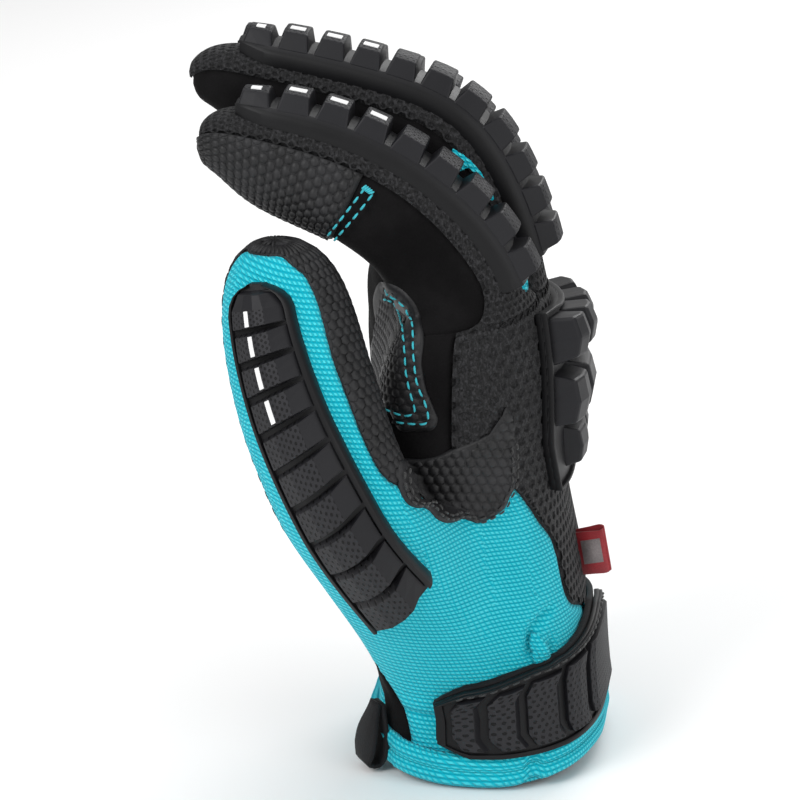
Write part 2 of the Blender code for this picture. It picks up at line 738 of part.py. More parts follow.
def strap_body(cage, ends, marks, margin, lower_gap, thickness, rows, raise_at):
    lower, upper = [], []
    for up in rows:
        low_row, top_row = [], []
        for column in strap_columns(ends, marks):
            low = blend_between(STRAP_EDGES, "column", "low", column) * HAND_LENGTH + margin
            high = blend_between(STRAP_EDGES, "column", "high", column) * HAND_LENGTH - margin
            point, normal = on_hand(cage, column, (low + (high - low) * up) / HAND_LENGTH)
            low_row.append(point + normal * lower_gap)
            top_row.append(point + normal * (lower_gap + thickness + raise_at(column, up)))
        lower.append(low_row)
        upper.append(top_row)
    return grid_body(lower, upper)


def strap_band(cage):
    return strap_body(cage, BAND_ENDS, [], 0.0, GUARD_GAP, STRAP, (0.0, 0.5, 1.0), lambda column, up: 0.0)


def strap_pad(cage):
    slope = 0.10
    marks = [block[key] + shift for block in PAD_BLOCKS for key, shift in (
        ("start", 0.0), ("start", slope), ("end", -slope), ("end", 0.0))]

    def raise_at(column, up):
        if not 0.1 < up < 0.9:
            return 0.0
        inside = any(b["start"] + slope * 0.9 < column < b["end"] - slope * 0.9 for b in PAD_BLOCKS)
        return STRAP_BLOCK if inside else 0.0

    gap = GUARD_GAP + STRAP + SEAM_GAP
    rows = (0.0, 0.08, 0.14, 0.86, 0.92, 1.0)
    return strap_body(cage, PAD_ENDS, marks, PAD_MARGIN, gap, STRAP_PAD, rows, raise_at)


def cuff_hem(cage):
    cells = [cage.faces["palm", 0, column] for column in range(COLUMNS)]
    return layer(cage, cells, SEAM_GAP, SEAM_GAP + HEM)


def pull_tab(cage):
    """A folded loop of webbing that hangs at the palm's side of the cuff, a closed band."""
    place, normal = on_hand(cage, 25.6, 0.155)
    across = Vector((0, 0, 1)).cross(normal).normalized()
    down = across.cross(normal).normalized()
    lean = math.radians(TAB_LEAN)
    down, normal = down * math.cos(lean) + normal * math.sin(lean), normal * math.cos(lean) - down * math.sin(lean)
    bow = TAB_THICKNESS * 0.9
    base = place + normal * (bow + TAB_THICKNESS / 2 + 4 * SEAM_GAP)
    run = TAB_LENGTH - 2 * bow
    middle = [base + down * (run * k / 3) - normal * bow for k in range(4)]
    middle += [base + down * (run + bow * 0.8)]
    middle += [base + down * (run * (3 - k) / 3) + normal * bow for k in range(4)]
    middle += [base - down * bow * 0.8]
    count = len(middle)
    solid = Solid()
    loops = []
    for k, point in enumerate(middle):
        along = (middle[(k + 1) % count] - middle[k - 1]).normalized()
        out = along.cross(across).normalized()
        half = out * TAB_THICKNESS / 2
        wide = across * TAB_WIDTH / 2
        loops.append([solid.add(p) for p in (
            point - half - wide, point + half - wide, point + half + wide, point - half + wide)])
    for k in range(count):
        a, b = loops[k], loops[(k + 1) % count]
        for c in range(4):
            after = (c + 1) % 4
            solid.faces.append([a[c], a[after], b[after], b[c]])
    return solid


def tag(cage):
    """A small folded tape standing out from the seam at the middle of the back."""
    place, normal = on_hand(cage, 6.0, 0.405)
    side = Vector((0, 0, 1)).cross(normal).normalized()
    up = normal.cross(side).normalized()
    solid = Solid()
    lower, upper = [], []
    for z in (-0.5, 0.5):
        rows = [[], []]
        for out in (0.0, 0.85, 1.0):
            for row, face in zip(rows, (-1, 1)):
                thick = TAG_THICKNESS / 2 * (1.0 if out < 1 else 0.5)
                row.append(
                    place + normal * (SEAM_GAP * 3 + TAG_LENGTH * out) + up * TAG_WIDTH * z + side * thick * face
                )
        lower.append(rows[0])
        upper.append(rows[1])
    return grid_body(lower, upper)


def panels(cage):
    """The cells of each sewn panel and patch."""
    cells = cage.faces
    stairs = {("palm", step["row"], step[side]): side for step in MESH_STEPS for side in ("thumb", "little")}
    groups = {name: [] for name in ("cuff", "thumb_panel", "side_panel", "back_panel", "palm_panel", "thumb_front")}
    for finger in FINGERS:
        groups[finger["name"] + "_sleeve"] = []
    thumb_back = [(k - 3) % THUMB_RING for k in range(6)]
    for (tube, row, column), face in cells.items():
        if tube == "thumb":
            groups["thumb_panel" if column in thumb_back else "thumb_front"].append(face)
        elif tube != "palm":
            groups["back_panel" if column < PER_FINGER else tube + "_sleeve"].append(face)
        elif (tube, row, column) in stairs:
            side = stairs[tube, row, column]
            first, second = split_cell(face, 1 if side == "thumb" else 0)
            knit, mesh = (second, first) if side == "thumb" else (first, second)
            groups[("thumb" if side == "thumb" else "side") + "_panel"].append(knit)
            groups["back_panel"].append(mesh)
        elif row < CUFF_ROWS:
            groups["cuff"].append(face)
        else:
            groups[palm_group(row, column)].append(face)
    return groups


def palm_group(row, column):
    """Which panel an uncut cell of the palm belongs to."""
    step = {s["thumb"]: s["row"] for s in MESH_STEPS}
    step.update({s["little"]: s["row"] for s in MESH_STEPS})
    if column > ACROSS + 1 and column < COLUMNS - 3:
        return "palm_panel"
    if column >= COLUMNS - 3:
        return "thumb_panel" if row <= 6 else "palm_panel"
    if column in (ACROSS, ACROSS + 1):
        return "side_panel" if row <= 6 else "palm_panel"
    if row >= step.get(column, KNIT_ROWS):
        return "back_panel"
    return "thumb_panel" if column < ACROSS // 2 else "side_panel"


def main():
    for item in list(bpy.data.objects):
        bpy.data.objects.remove(item)
    cage = build_cage()
    finishes = {
        "cuff": "knit", "thumb_panel": "knit", "side_panel": "knit", "back_panel": "mesh",
        "palm_panel": "suede", "thumb_front": "leather",
    }
    for name, faces in panels(cage).items():
        inset = TUCK if name == "thumb_front" or name.endswith("_sleeve") else SEAM_GAP * 0.6
        layer(cage, faces, -WALL, 0.0, inset).link(name, finishes.get(name, "suede"))
    cuff_hem(cage).link("cuff_hem", "knit")
    over = (PATCH_GAP, PATCH_GAP + PATCH)
    f = cage.faces
    saddle = [f["palm", r, c] for r in (8, 9) for c in (26, 27, 28, 29, 0)]
    layer(cage, saddle, *over, wanted=0.0017).link("saddle_patch", "leather")
    palm = [f["palm", r, c] for r in (8, 9, 10) for c in range(19, 25)]
    layer(cage, palm, *over).link("palm_patch", "leather")
    index = [face for (tube, row, c), face in f.items() if tube == "index" and row >= 7 and c >= PER_FINGER]
    layer(cage, index, *over, wanted=0.0017).link("index_patch", "leather")
    for number, finger in enumerate(FINGERS):
        finger_guard(cage, number).link(finger["name"] + "_guard", "rubber")
    thumb_guard(cage).link("thumb_guard", "rubber")
    knuckle_guard(cage).link("knuckle_guard", "rubber")
    strap_band(cage).link("strap_band", "webbing")
    strap_pad(cage).link("strap_pad", "rubber")
    pull_tab(cage).link("pull_tab", "webbing")
    tag(cage).link("tag", "tag")


if __name__ == "__main__":
    main()
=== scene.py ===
"""Looks for the impact glove: cloth panels, patches, stitches, moulded guards and the strap, round its CAD frame.

The hand's outside is the same cage of rings as in the CAD, smoothed by subdivision and cut into panels.
"""

import math

import bmesh
import bpy
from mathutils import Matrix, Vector
from mathutils.bvhtree import BVHTree
from mathutils.geometry import barycentric_transform
from mathutils.kdtree import KDTree


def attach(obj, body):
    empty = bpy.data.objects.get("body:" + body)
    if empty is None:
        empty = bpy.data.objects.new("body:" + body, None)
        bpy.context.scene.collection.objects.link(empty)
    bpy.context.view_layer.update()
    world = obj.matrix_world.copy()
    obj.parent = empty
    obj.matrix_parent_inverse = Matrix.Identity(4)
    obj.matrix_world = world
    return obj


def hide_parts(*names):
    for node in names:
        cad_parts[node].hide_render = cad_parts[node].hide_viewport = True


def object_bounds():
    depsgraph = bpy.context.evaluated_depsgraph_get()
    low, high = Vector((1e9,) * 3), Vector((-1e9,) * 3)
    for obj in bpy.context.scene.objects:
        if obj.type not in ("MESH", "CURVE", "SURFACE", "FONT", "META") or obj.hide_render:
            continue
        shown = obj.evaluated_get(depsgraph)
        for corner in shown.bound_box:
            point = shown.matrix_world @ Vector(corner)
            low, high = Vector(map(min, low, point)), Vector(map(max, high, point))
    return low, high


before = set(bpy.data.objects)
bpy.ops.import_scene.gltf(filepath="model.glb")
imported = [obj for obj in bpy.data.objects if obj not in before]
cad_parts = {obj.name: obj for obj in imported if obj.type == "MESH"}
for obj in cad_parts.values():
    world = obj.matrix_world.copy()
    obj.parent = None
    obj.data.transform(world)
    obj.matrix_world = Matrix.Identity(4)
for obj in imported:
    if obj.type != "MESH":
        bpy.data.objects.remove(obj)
CAD_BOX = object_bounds()

# Hand, outside sizes
HAND_LENGTH = 0.123
PALM_WIDTH = 0.094
PALM_DEPTH = 0.050
PALM_ARCH = 0.0115
PALM_CUP = 0.007
FINGER_LENGTH = 0.127
FINGER_WIDTH = 0.0206
FINGER_DEPTH = 0.0255
FINGER_SPLAY = 0.0035
FINGER_DROP = 0.0076
THUMB_WIDTH = 0.0350
THUMB_DEPTH = 0.030
THUMB_REACH = 0.101

# Layers
WALL = 0.0018
SWELL = 0.0004
GUARD_GAP = 0.0003
GUARD_PLATE = 0.0022
STRAP = 0.0016

# Palm sections: height along the hand, back and front of the section in palm depths, width in palm
# widths, and the section's heading in degrees, where 90 faces straight up
PALM_SECTIONS = (
    (0.000, 0.57, -0.56, 0.80, 90),
    (0.045, 0.54, -0.55, 0.78, 92),
    (0.150, 0.51, -0.54, 0.75, 96),
    (0.240, 0.50, -0.58, 0.76, 96),
    (0.335, 0.49, -0.65, 0.79, 94),
    (0.430, 0.45, -0.67, 0.84, 92),
    (0.520, 0.41, -0.65, 0.89, 90),
    (0.610, 0.38, -0.64, 0.94, 90),
    (0.700, 0.37, -0.62, 0.97, 91),
    (0.790, 0.37, -0.60, 0.99, 93),
    (0.870, 0.36, -0.57, 1.00, 95),
    (0.940, 0.34, -0.52, 1.00, 96),
    (1.000, 0.31, -0.46, 0.99, 98),
)
HEIGHTS = [section[0] for section in PALM_SECTIONS]
SECTION_POWER, KNUCKLE_POWER = 2.6, 3.4
ARCH_CREST, CUP_CREST = -0.42, -0.25

# Fingers: name, length in finger lengths, the back line's heading in degrees at the turn shares,
# teeth of the guard, and the share where the guard ends
TURN_SHARES = (0.0, 0.3, 0.5, 0.85, 1.0)
FINGERS = (
    ("index", 0.82, (102, 136, 151, 177, 190), 9, 0.893),
    ("middle", 0.98, (97, 120, 163, 174, 202), 11, 0.868),
    ("ring", 0.93, (98, 126, 163, 175, 205), 10, 0.880),
    ("little", 0.72, (96, 134, 165, 183, 203), 8, 0.905),
)
GUARD_START = 0.075

# Sections of a finger and of the thumb: share of the length, depth, width
FINGER_SECTIONS = (
    (0.080, 1.06, 0.97), (0.165, 1.16, 1.00), (0.250, 1.16, 1.00), (0.340, 1.10, 0.99),
    (0.420, 1.06, 0.97), (0.500, 1.03, 0.95), (0.600, 1.03, 0.94), (0.700, 1.00, 0.92),
    (0.800, 0.93, 0.89), (0.880, 0.79, 0.82), (0.940, 0.56, 0.68), (0.985, 0.34, 0.46),
)
THUMB_SECTIONS = (
    (0.24, 0.84, 1.16), (0.34, 0.84, 1.12), (0.44, 0.90, 1.06), (0.55, 1.00, 1.03), (0.66, 1.00, 1.00),
    (0.76, 0.97, 0.97), (0.85, 0.89, 0.90), (0.92, 0.74, 0.77), (0.97, 0.52, 0.55), (0.995, 0.24, 0.26),
)
FINGER_POWER, THUMB_POWER = 2.8, 2.3
LINE_STEPS = 60

# The thumb's middle line: where it leaves the palm, in palm depths, palm widths and hand lengths;
# the tip's way from there and the pulls at both ends in thumb reaches; the way that its back faces
THUMB_ROOT = (-0.290, -0.383, 0.4146)
THUMB_TIP = Vector((-0.3170, -0.1386, 0.9366))
THUMB_ROOT_PULL = Vector((-0.1535, -0.3960, 0.3267))
THUMB_TIP_PULL = Vector((-0.0297, -0.0198, 0.3267))
THUMB_BACK = Vector((-0.50, -0.86, -0.05))
THUMB_GUARD_BACK = Vector((-0.28, -0.96, -0.05))
THUMB_GUARD_ROOT_BACK = Vector((0.16, -0.98, -0.05))
THUMB_GUARD_ENDS = (0.100, 0.920)
THUMB_GUARD_SKEW = 0.055

# Columns round the palm: 13 across the back, 2 at the little finger's side, 13 back across the
# front, 2 at the thumb's side
ACROSS = 12
OUTER_SHARE, SIDE_SHARE = 0.90, 0.985
PER_FINGER = ACROSS // len(FINGERS)
COLUMNS = 2 * (ACROSS + 1) + 4
FRONT_COLUMNS = [COLUMNS - 3 - k for k in range(ACROSS + 1)]
THUMB_SIDE = (COLUMNS - 1, COLUMNS - 2)
LITTLE_SIDE = (ACROSS + 1, ACROSS + 2)
THUMB_RING = 16
FINGER_RING = 4 * PER_FINGER
THUMB_HOLE_ROWS = (3, 7)
THUMB_HOLE_COLUMNS = (COLUMNS - 5, COLUMNS - 1)

# The part of the guards' width that is left at a share of the length
GUARD_TAPER = ((0.34, 0.99), (0.50, 0.95), (0.70, 0.92), (0.80, 0.88), (0.88, 0.74), (0.91, 0.56))
THUMB_GUARD_TAPER = ((0.00, 1.10), (0.35, 1.02), (0.70, 0.86), (0.86, 0.78), (0.90, 0.64), (0.93, 0.42))

# Knuckle guard: its ends in columns and in hand lengths, and how far its far corner is lowered
KNUCKLE_LEFT, KNUCKLE_RIGHT, KNUCKLE_LOW, KNUCKLE_HIGH = 1.75, 10.25, 0.615, 0.985
KNUCKLE_SLOPE = 0.060

# Wrist strap: columns, thumb's side first, and the lower and upper edge in hand lengths
STRAP_EDGES = (
    (-2.05, 0.102, 0.191), (-1.50, 0.061, 0.236), (-1.00, 0.059, 0.240), (1.00, 0.063, 0.252),
    (6.00, 0.081, 0.293), (12.00, 0.073, 0.268), (14.00, 0.065, 0.244),
)

# Camera: its angles, its distance, and the point it looks at in its own right, up and towards axes
AZIMUTH, ELEVATION, DISTANCE, FRAME_WIDTH, PIXELS = math.radians(8), math.radians(18), 1.1, 0.204, 800
BACK = Vector((
    math.sin(AZIMUTH) * math.cos(ELEVATION), -math.cos(AZIMUTH) * math.cos(ELEVATION), math.sin(ELEVATION)))
RIGHT = Vector((math.cos(AZIMUTH), math.sin(AZIMUTH), 0))
UP = BACK.cross(RIGHT)
TARGET = RIGHT * -0.02295 + UP * 0.0864 + BACK * BACK.dot(Vector((-0.020, 0, 0.095)))
EYE = TARGET + BACK * DISTANCE

# The mouth's edge: lowest in the middle of the side that faces the camera, rising to both sides
MOUTH_MIDDLE, MOUTH_HALF, MOUTH_RISE, MOUTH_REACH = 0.003, 0.028, 0.0046, 0.024
CUFF_ROWS = 2
# The mesh's lower edge on the far side: columns from the edge of the back, heights in hand lengths
MESH_EDGE = ((-1.0, 0.74), (0.0, 0.62), (2.0, 0.455), (5.3, 0.315), (6.0, 0.29))

# Places in the photograph's frame, in its pixels: the seam at the mouth, the mesh's lower edge, the
# right edge of the palm's dark wedge (y, x), the folds (line, depth, width) and the patches
SEAM_ACROSS = 531
MESH_LINE = ((490, 470), (515, 488), (545, 528), (553, 536), (560, 561), (566, 592), (572, 604), (590, 606))
WEDGE = ((630, 352), (648, 365), (692, 392), (711, 403), (735, 410))
FOLDS = (
    ([(554, 604), (543, 617), (532, 630), (530, 645), (531, 664)], 0.0018, 0.0013),
    ([(537, 636), (541, 648), (542, 662)], -0.0013, 0.0017),
    ([(550, 638), (551, 650), (549, 662)], 0.0009, 0.0012),
    ([(440, 655), (480, 665), (520, 664)], 0.0006, 0.0030),
    ([(420, 250), (400, 285), (392, 320)], 0.0012, 0.0030),
    ([(432, 262), (470, 300), (486, 352)], 0.0009, 0.0035),
    ([(340, 420), (362, 470), (396, 520)], 0.0005, 0.0025),
)
SADDLE_MIDDLE = (457, 485)
SADDLE = [
    (506, 406), (512, 412), (515, 440), (516, 462), (515, 484), (509, 497), (504, 508), (492, 517), (478, 523),
    (470, 521), (463, 519), (455, 522), (446, 523), (437, 519), (431, 512), (425, 508), (417, 508), (409, 505),
    (403, 498), (400, 490), (398, 478), (398, 466), (402, 459), (420, 459), (436, 456), (448, 451), (460, 446),
    (478, 439), (493, 430), (500, 419),
]
PALM_PATCH = [
    (380, 283), (392, 284), (404, 290), (415, 303), (421, 320), (424, 340), (422, 362), (426, 388), (434, 408),
    (438, 420), (432, 430), (415, 431), (400, 430), (391, 413), (382, 397), (375, 372), (371, 353), (374, 338),
    (377, 323), (374, 300),
]
PALM_STITCHES = (
    [(390, 291), (400, 298), (409, 307), (415, 325), (415, 352), (418, 381), (426, 402), (429, 415), (426, 422),
     (410, 422), (395, 420)],
    [(388, 300), (399, 306), (405, 322), (407, 345), (408, 372), (412, 393), (416, 408), (413, 413), (404, 414),
     (388, 408)],
)
TIP_STITCHES = ([(366, 186), (352, 204), (336, 224), (318, 244)], [(373, 193), (358, 212), (342, 230), (326, 246)])
ACCENTS = (
    [(452, 150), (459, 152), (470, 160), (480, 171), (486, 182), (475, 174), (468, 168), (456, 171)],
    [(488, 186), (494, 199), (488, 199)],
    [(521, 262), (514, 274), (524, 291), (528, 287), (526, 272)],
)
FLAP = [
    (531, 632), (537, 634), (543, 641), (547, 650), (549, 659), (545, 664), (538, 667), (534, 664), (532, 652),
    (530, 641),
]


def between(table, value, column=1):
    """A column's value at any place along a table's first column, straight between its rows."""
    if value <= table[0][0]:
        return table[0][column]
    for low, high in zip(table, table[1:]):
        if value <= high[0]:
            return low[column] + (value - low[0]) / (high[0] - low[0]) * (high[column] - low[column])
    return table[-1][column]


def spread(start, end, count):
    """Evenly spaced values from start to end, both among them."""
    return [start + (end - start) * k / (count - 1) for k in range(count)]


def ring_pairs(items):
    """Each item with the one after it, the last with the first."""
    return zip(items, items[1:] + items[:1])


def palm_point(section, share, on_back):
    """A point on a palm section, where share runs from -1 at the thumb's side to 1."""
    rise, back, front, width, heading = section
    heading = math.radians(heading)
    middle, half = (back + front) / 2 * PALM_DEPTH, (back - front) / 2 * PALM_DEPTH
    grow = rise ** 2
    power = SECTION_POWER + (KNUCKLE_POWER - SECTION_POWER) * grow
    height = max(0.0, 1.0 - abs(share) ** power) ** (1.0 / power)
    out = middle + half * height if on_back else middle - half * height
    if not on_back:
        out += PALM_CUP * grow * height * (1 - min(1.0, abs(share - CUP_CREST)) ** 2)
    out -= PALM_ARCH * grow * (share - ARCH_CREST) ** 2
    across = share * width * PALM_WIDTH / 2
    return Vector((out * math.sin(heading), across, rise * HAND_LENGTH - out * math.cos(heading)))


def palm_ring(section):
    """The 30 points of one palm section, in column order."""
    shares = [OUTER_SHARE * (2 * k / ACROSS - 1) for k in range(ACROSS + 1)]
    places = [(share, True) for share in shares] + [(SIDE_SHARE, True), (SIDE_SHARE, False)]
    places += [(share, False) for share in reversed(shares)] + [(-SIDE_SHARE, False), (-SIDE_SHARE, True)]
    return [palm_point(section, share, on_back) for share, on_back in places]


def rounded_ring(centre, side, normal, width, depth, angles, power):
    """Points round a rounded box's outline, at angles in degrees."""
    ring = []
    for angle in angles:
        c, s = math.cos(math.radians(angle)), math.sin(math.radians(angle))
        sideways, out = math.copysign(abs(c) ** (2 / power), c), math.copysign(abs(s) ** (2 / power), s)
        ring.append(centre + side * width * sideways + normal * depth * out)
    return ring


def finger_frame(number, share):
    """The back line of a finger at a share of its length: point, direction, outward normal, sideways."""
    across = OUTER_SHARE * ((2 * number + 1) / len(FINGERS) - 1)
    point = palm_point(PALM_SECTIONS[-1], across, True)
    length = FINGERS[number][1] * FINGER_LENGTH
    turns = tuple(zip(TURN_SHARES, FINGERS[number][2]))
    for step in range(LINE_STEPS):
        heading = math.radians(between(turns, share * (step + 0.5) / LINE_STEPS))
        point = point + Vector((math.cos(heading), 0, math.sin(heading))) * length * share / LINE_STEPS
    point.y += across * FINGER_SPLAY * share * 2
    heading = math.radians(between(turns, share))
    forward = Vector((math.cos(heading), 0, math.sin(heading)))
    return point, forward, Vector((forward.z, 0, -forward.x)), Vector((0, 1, 0))


def finger_ring(number, share):
    """12 points of a finger section: 4 over the back, 2 at a side, 4 under the front, 2 at a side."""
    point, _, normal, side = finger_frame(number, share)
    width = between(FINGER_SECTIONS, share, 2) * FINGER_WIDTH / 2
    depth = between(FINGER_SECTIONS, share) * FINGER_DEPTH / 2
    angles = [135 - 30 * k for k in range(FINGER_RING)]
    return rounded_ring(point - normal * max(depth, FINGER_DROP), side, normal, width, depth, angles, FINGER_POWER)


def thumb_frame(share, back=THUMB_BACK):
    """The thumb's middle line, a cubic curve: point, direction, outward normal, sideways."""
    root = Vector((THUMB_ROOT[0] * PALM_DEPTH, THUMB_ROOT[1] * PALM_WIDTH, THUMB_ROOT[2] * HAND_LENGTH))
    tip = root + THUMB_TIP * THUMB_REACH
    a, b, c, d = root, root + THUMB_ROOT_PULL * THUMB_REACH, tip - THUMB_TIP_PULL * THUMB_REACH, tip
    rest = 1 - share
    point = a * rest**3 + b * 3 * rest**2 * share + c * 3 * rest * share**2 + d * share**3
    forward = ((b - a) * rest**2 + (c - b) * 2 * rest * share + (d - c) * share**2).normalized()
    normal = (back - forward * back.dot(forward)).normalized()
    return point, forward, normal, forward.cross(normal)


def thumb_ring(share):
    point, _, normal, side = thumb_frame(share)
    width = between(THUMB_SECTIONS, share, 2) * THUMB_WIDTH / 2
    depth = between(THUMB_SECTIONS, share) * THUMB_DEPTH / 2
    angles = [90 - 360 * (k + 0.5) / THUMB_RING for k in range(THUMB_RING)]
    return rounded_ring(point, side, normal, width, depth, angles, THUMB_POWER)


class Cage:
    """The hand's outside as points and labelled faces, each face named by tube, row and column."""

    def __init__(self):
        self.points, self.faces = [], {}
        self.rings = [self.add(palm_ring(section)) for section in PALM_SECTIONS]
        self.tube("palm", self.rings)
        loop = self.thumb_hole()
        self.fingers()
        first = thumb_ring(THUMB_SECTIONS[0][0])
        tube = [self.turned_to_match(loop, first)] + [self.add(thumb_ring(row[0])) for row in THUMB_SECTIONS]
        self.tube("thumb", tube)
        self.cap("thumb", tube[-1], len(tube) - 1)
        self.normals = {}
        for face in self.faces.values():
            normal = sum((a.cross(b) for a, b in ring_pairs([self.points[k] for k in face])), Vector())
            for k in face:
                self.normals[k] = self.normals.get(k, Vector()) + normal
        self.normals = {k: normal.normalized() for k, normal in self.normals.items()}

    def add(self, points):
        first = len(self.points)
        self.points += points
        return list(range(first, first + len(points)))

    def tube(self, name, rings):
        for row, (low, high) in enumerate(zip(rings, rings[1:])):
            for column, (a, b, c, d) in enumerate(zip(low, low[1:] + low[:1], high[1:] + high[:1], high)):
                self.faces[name, row, column] = (a, b, c, d)

    def cap(self, name, ring, row):
        tip = self.add([sum((self.points[k] for k in ring), Vector()) / len(ring)])[0]
        for column, (a, b) in enumerate(ring_pairs(ring)):
            self.faces[name, row, column] = (a, b, tip)

    def thumb_hole(self):
        """Takes out the cells of the thumb's opening, and gives the loop of points round it."""
        (first, last), (left, right) = THUMB_HOLE_ROWS, THUMB_HOLE_COLUMNS
        for row in range(first, last):
            for column in range(left, right):
                del self.faces["palm", row, column]
        loop = [self.rings[first][c] for c in range(left, right)]
        loop += [self.rings[r][right] for r in range(first, last)]
        loop += [self.rings[last][c] for c in range(right, left, -1)]
        return loop + [self.rings[r][left] for r in range(last, first, -1)]

    def turned_to_match(self, loop, ring):
        """The loop started where it lies nearest, point by point, to the thumb's first ring."""
        choices = [way[k:] + way[:k] for way in (loop, loop[::-1]) for k in range(len(loop))]
        return min(choices, key=lambda way: sum((self.points[a] - b).length_squared for a, b in zip(way, ring)))

    def fingers(self):
        roots = self.rings[-1]
        webs = [[roots[k] for k in THUMB_SIDE]]
        for number in range(1, len(FINGERS)):
            back = self.points[roots[PER_FINGER * number]]
            front = self.points[roots[FRONT_COLUMNS[PER_FINGER * number]]]
            webs.append(self.add([back.lerp(front, 1 / 3), back.lerp(front, 2 / 3)]))
        webs.append([roots[k] for k in LITTLE_SIDE])
        for number, finger in enumerate(FINGERS):
            columns = range(PER_FINGER * number, PER_FINGER * (number + 1) + 1)
            root = [roots[k] for k in columns] + webs[number + 1]
            root += [roots[FRONT_COLUMNS[k]] for k in reversed(columns)] + webs[number][::-1]
            tube = [root] + [self.add(finger_ring(number, row[0])) for row in FINGER_SECTIONS]
            self.tube(finger[0], tube)
            self.cap(finger[0], tube[-1], len(tube) - 1)

    def place(self, column, height):
        """A place on the palm's flat facets, by column and height in hand lengths, and its normal."""
        row = min(max(k for k, h in enumerate(HEIGHTS) if h <= height), len(HEIGHTS) - 2)
        up = (height - HEIGHTS[row]) / (HEIGHTS[row + 1] - HEIGHTS[row])
        left = math.floor(column)
        along = column - left
        point, normal = Vector(), Vector()
        for r, c, share in (
            (row, left, (1 - up) * (1 - along)), (row, left + 1, (1 - up) * along),
            (row + 1, left, up * (1 - along)), (row + 1, left + 1, up * along),
        ):
            index = self.rings[r][c % COLUMNS]
            point += self.points[index] * share
            normal += self.normals[index] * share
        return point, normal.normalized()


def frame_point(point):
    """Where a point shows in the photograph's frame, in its pixels."""
    way = point - EYE
    scale = PIXELS / FRAME_WIDTH * DISTANCE / -way.dot(BACK)
    return PIXELS / 2 + way.dot(RIGHT) * scale, PIXELS / 2 - way.dot(UP) * scale


def seen(tree, x, y):
    """The surface's point and normal behind a place in the photograph's frame."""
    pixel = FRAME_WIDTH / PIXELS
    spot = TARGET + RIGHT * ((x - PIXELS / 2) * pixel) + UP * ((PIXELS / 2 - y) * pixel)
    hit = tree.ray_cast(EYE, (spot - EYE).normalized())
    return (hit[0], hit[1]) if hit[0] is not None else None


class Body:
    """Points and faces of one piece, with a material number and cloth coordinates for each face."""

    def __init__(self):
        self.points, self.faces, self.kinds, self.coords = [], [], [], []

    def add(self, point):
        self.points.append(tuple(point))
        return len(self.points) - 1

    def face(self, corners, kind=0, coords=None):
        self.faces.append(tuple(corners))
        self.kinds.append(kind)
        self.coords.append(coords)

    def bands(self, loops, kinds=None):
        """Faces between closed loops of points, one after the other."""
        for a, b in zip(loops, loops[1:]):
            for k, corners in enumerate(zip(a, a[1:] + a[:1], b[1:] + b[:1], b)):
                self.face(corners, kinds[k] if kinds else 0)

    def link(self, name, materials, slot, replaces=(), bevel=0.0, smooth=True, turn=True, fill=None):
        mesh = bpy.data.meshes.new(name)
        mesh.from_pydata(self.points, [], self.faces)
        weave_map = mesh.uv_layers.new(name="weave")
        for polygon, kind, coords in zip(mesh.polygons, self.kinds, self.coords):
            polygon.material_index, polygon.use_smooth = kind, smooth
            for loop, uv in zip(polygon.loop_indices, coords or ()):
                weave_map.data[loop].uv = uv
        item = bpy.data.objects.new(name, mesh)
        bpy.context.scene.collection.objects.link(item)
        for material in materials:
            mesh.materials.append(material)
        if turn:
            work = bmesh.new()
            work.from_mesh(mesh)
            bmesh.ops.recalc_face_normals(work, faces=work.faces)
            work.to_mesh(mesh)
            work.free()
        if bevel:
            rounding = item.modifiers.new("edges", "BEVEL")
            rounding.width, rounding.segments, rounding.use_clamp_overlap = bevel, 2, True
            rounding.limit_method, rounding.angle_limit = "ANGLE", math.radians(28)
            item.data = bpy.data.meshes.new_from_object(
                item.evaluated_get(bpy.context.evaluated_depsgraph_get()))
            item.modifiers.clear()
            item.data.name = name
        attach(item, "root")
        if replaces:
            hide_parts(*replaces)
        return item


def cloth_scales(cage):
    """Cloth metres for each tube: width of a column, and length at each row."""
    def lengths(rings, start, end):
        total = [0.0] if start else []
        centres = [sum(ring, Vector()) / len(ring) for ring in rings]
        walked = start
        total.append(walked)
        for a, b in zip(centres, centres[1:]):
            walked += (b - a).length
            total.append(walked)
        return total + [total[-1] + end] if end else total

    scales = {"palm": (0.0073, lengths([[cage.points[k] for k in ring] for ring in cage.rings], 0.0, 0.0))}
    for number, finger in enumerate(FINGERS):
        rings = [finger_ring(number, row[0]) for row in FINGER_SECTIONS]
        scales[finger[0]] = (0.0062, lengths(rings, 0.008, 0.002))
    scales["thumb"] = (0.0061, lengths([thumb_ring(row[0]) for row in THUMB_SECTIONS], 0.012, 0.002))
    return scales


